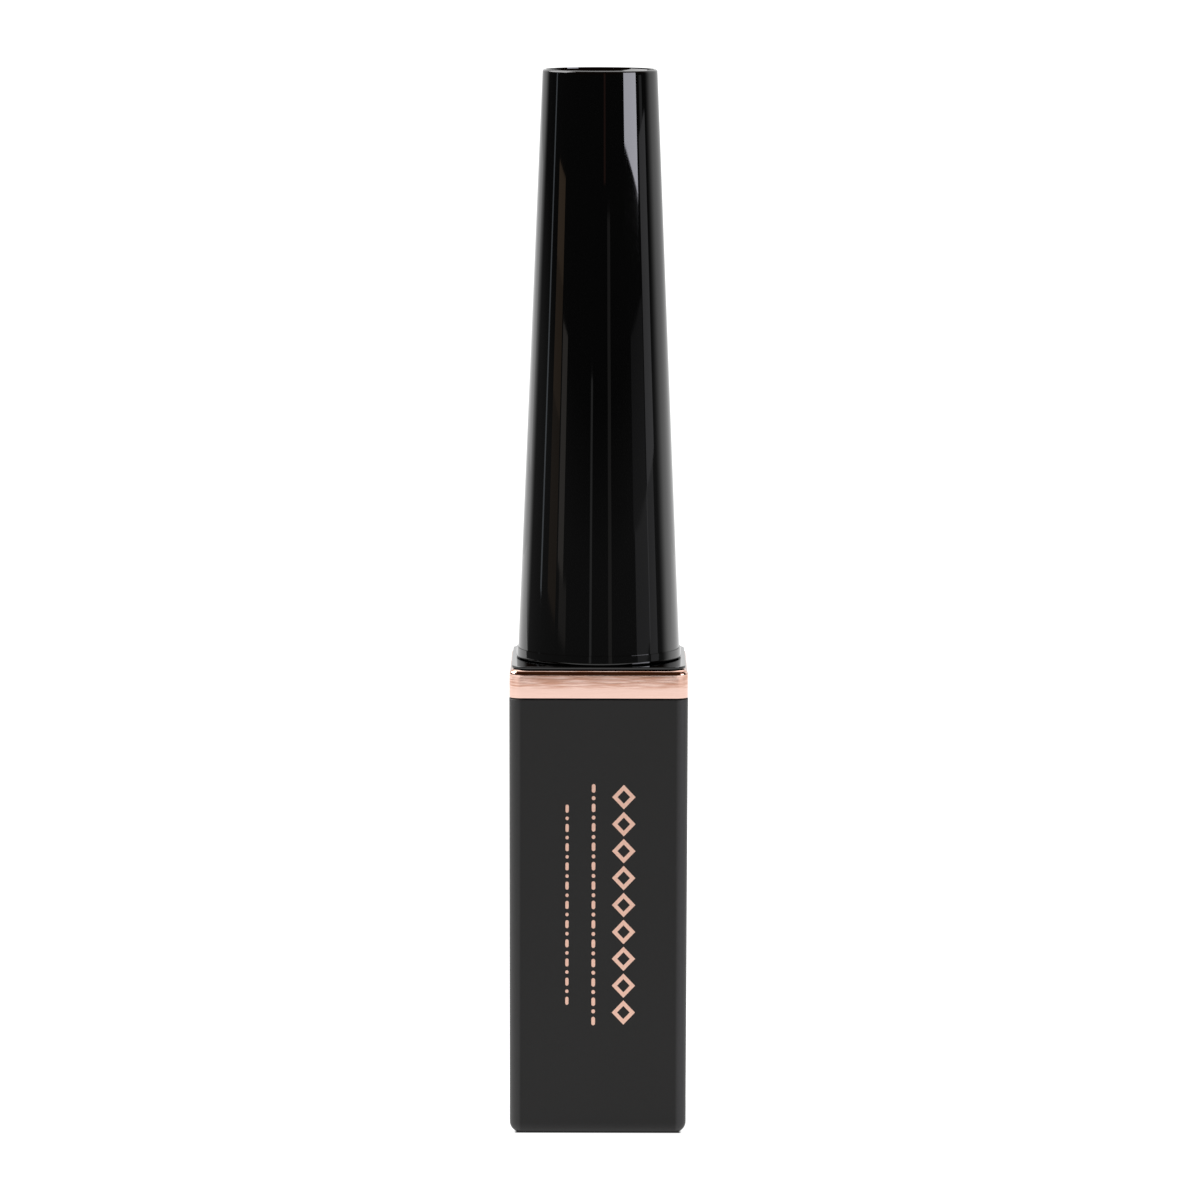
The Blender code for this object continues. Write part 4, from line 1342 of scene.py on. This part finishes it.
# %% Uprights
UPRIGHT_DISTANCE = 1.5
UPRIGHT_EYE = 70 * MM
UPRIGHTS = {
    "softbox": (62, 28, 1.97, 21, 8.1, "F4F4FF", -3.6),
    "softbox_foot": (68, 24, -4.6, -2.7, 0.3, "E8E8EC"),
    "softbox_haze": (66, 24, -2.7, -0.2, 0.12, "E8E8EC"),
    "card_right": (88.3, 17, -2.7, 2.2, 0.68, "E8E8EC"),
    "card_top": (87, 7, 2.2, 4.5, 0.3, "E8E8EC"),
    "card_foot": (86, 15, -5.2, -2.7, 0.4, "E8E8EC"),
    "card_left": (-74, 15, 0.2, 1.65, 0.7, "D8B898"),
    "card_left_middle": (-74, 15, -1.5, 0.2, 0.42, "D8B898"),
    "card_left_foot": (-74, 15, -4.0, -1.5, 0.22, "D8B898"),
    "edge_left": (-95, 3, -4.4, 12, 1.0, "DCE6F0"),
    "stand_left": (-59.5, 9.5, -3.2, -0.2, 0.62, "D8D0C8"),
    "stand_left_foot": (-55, 12, -4.0, -3.2, 0.25, "D8D0C8"),
    "stand_near": (-12, 3.2, -3.9, -0.2, 0.4, "E8E8E8"),
    "stand_warm": (9, 3.4, 2.3, 12, 0.3, "D09080"),
    "door_frame": (16, 5, -4.0, 1.8, 0.24, "E0DCD8"),
    "backdrop_left": (-152, 34, -4.5, -0.4, 0.3, "FFFFFF"),
    "silk_left": (-100, 56, 16, 60, 8.0, "FFFFFF"),
}


def upright(name, around, width, low, high, level, colour, roll=0):
    angle = math.radians(around)
    wide = 2 * UPRIGHT_DISTANCE * math.tan(math.radians(width) / 2)
    foot, top = (UPRIGHT_DISTANCE * math.tan(math.radians(elevation)) for elevation in (low, high))
    panel = glowing_panel(name, wide, top - foot, level)
    panel.data.color = linear(colour)[:3]
    toward = Vector((math.sin(angle), -math.cos(angle), 0))
    panel.location = toward * UPRIGHT_DISTANCE + Vector((0, 0, UPRIGHT_EYE + (foot + top) / 2))
    facing = toward.to_track_quat("Z", "Y").to_matrix()
    panel.rotation_euler = (facing @ Matrix.Rotation(math.radians(roll), 3, "Z")).to_euler()


for name, values in UPRIGHTS.items():
    upright(name, *values)
print("uprights:", ", ".join(UPRIGHTS))

# %% [markdown]
# ## The camera
# It stands 0.59 m in front and 0.12 m up, and looks down by 6.9 degrees, with a long lens. These came
# from the lean of the upright edges, the widths at the top and the foot, and how far the top of
# the collar shows. The picture is square, so the sensor's width serves both ways. A hair of roll
# matches how the bottle leaned.

# %% Camera
CAMERA_PLACE = (0.105 * MM, -590.8 * MM, 120.5 * MM)
CAMERA_TILT = 6.905
CAMERA_ROLL = 0.129
CAMERA_LENS = 191.56
SENSOR = 36
NEAREST, FARTHEST = 0.05, 30


def camera():
    lens = bpy.data.cameras.new("camera")
    lens.lens = CAMERA_LENS
    lens.sensor_width = SENSOR
    lens.clip_start, lens.clip_end = NEAREST, FARTHEST
    made = bpy.data.objects.new("camera", lens)
    made.location = CAMERA_PLACE
    look = Matrix.Rotation(math.radians(90 - CAMERA_TILT), 4, "X")
    roll = Matrix.Rotation(math.radians(CAMERA_ROLL), 4, "Z")
    made.rotation_euler = (look @ roll).to_euler()
    bpy.context.scene.collection.objects.link(made)
    bpy.context.scene.camera = made


camera()
bpy.context.scene.view_settings.view_transform = "Standard"
print("camera:", CAMERA_LENS, "mm lens")
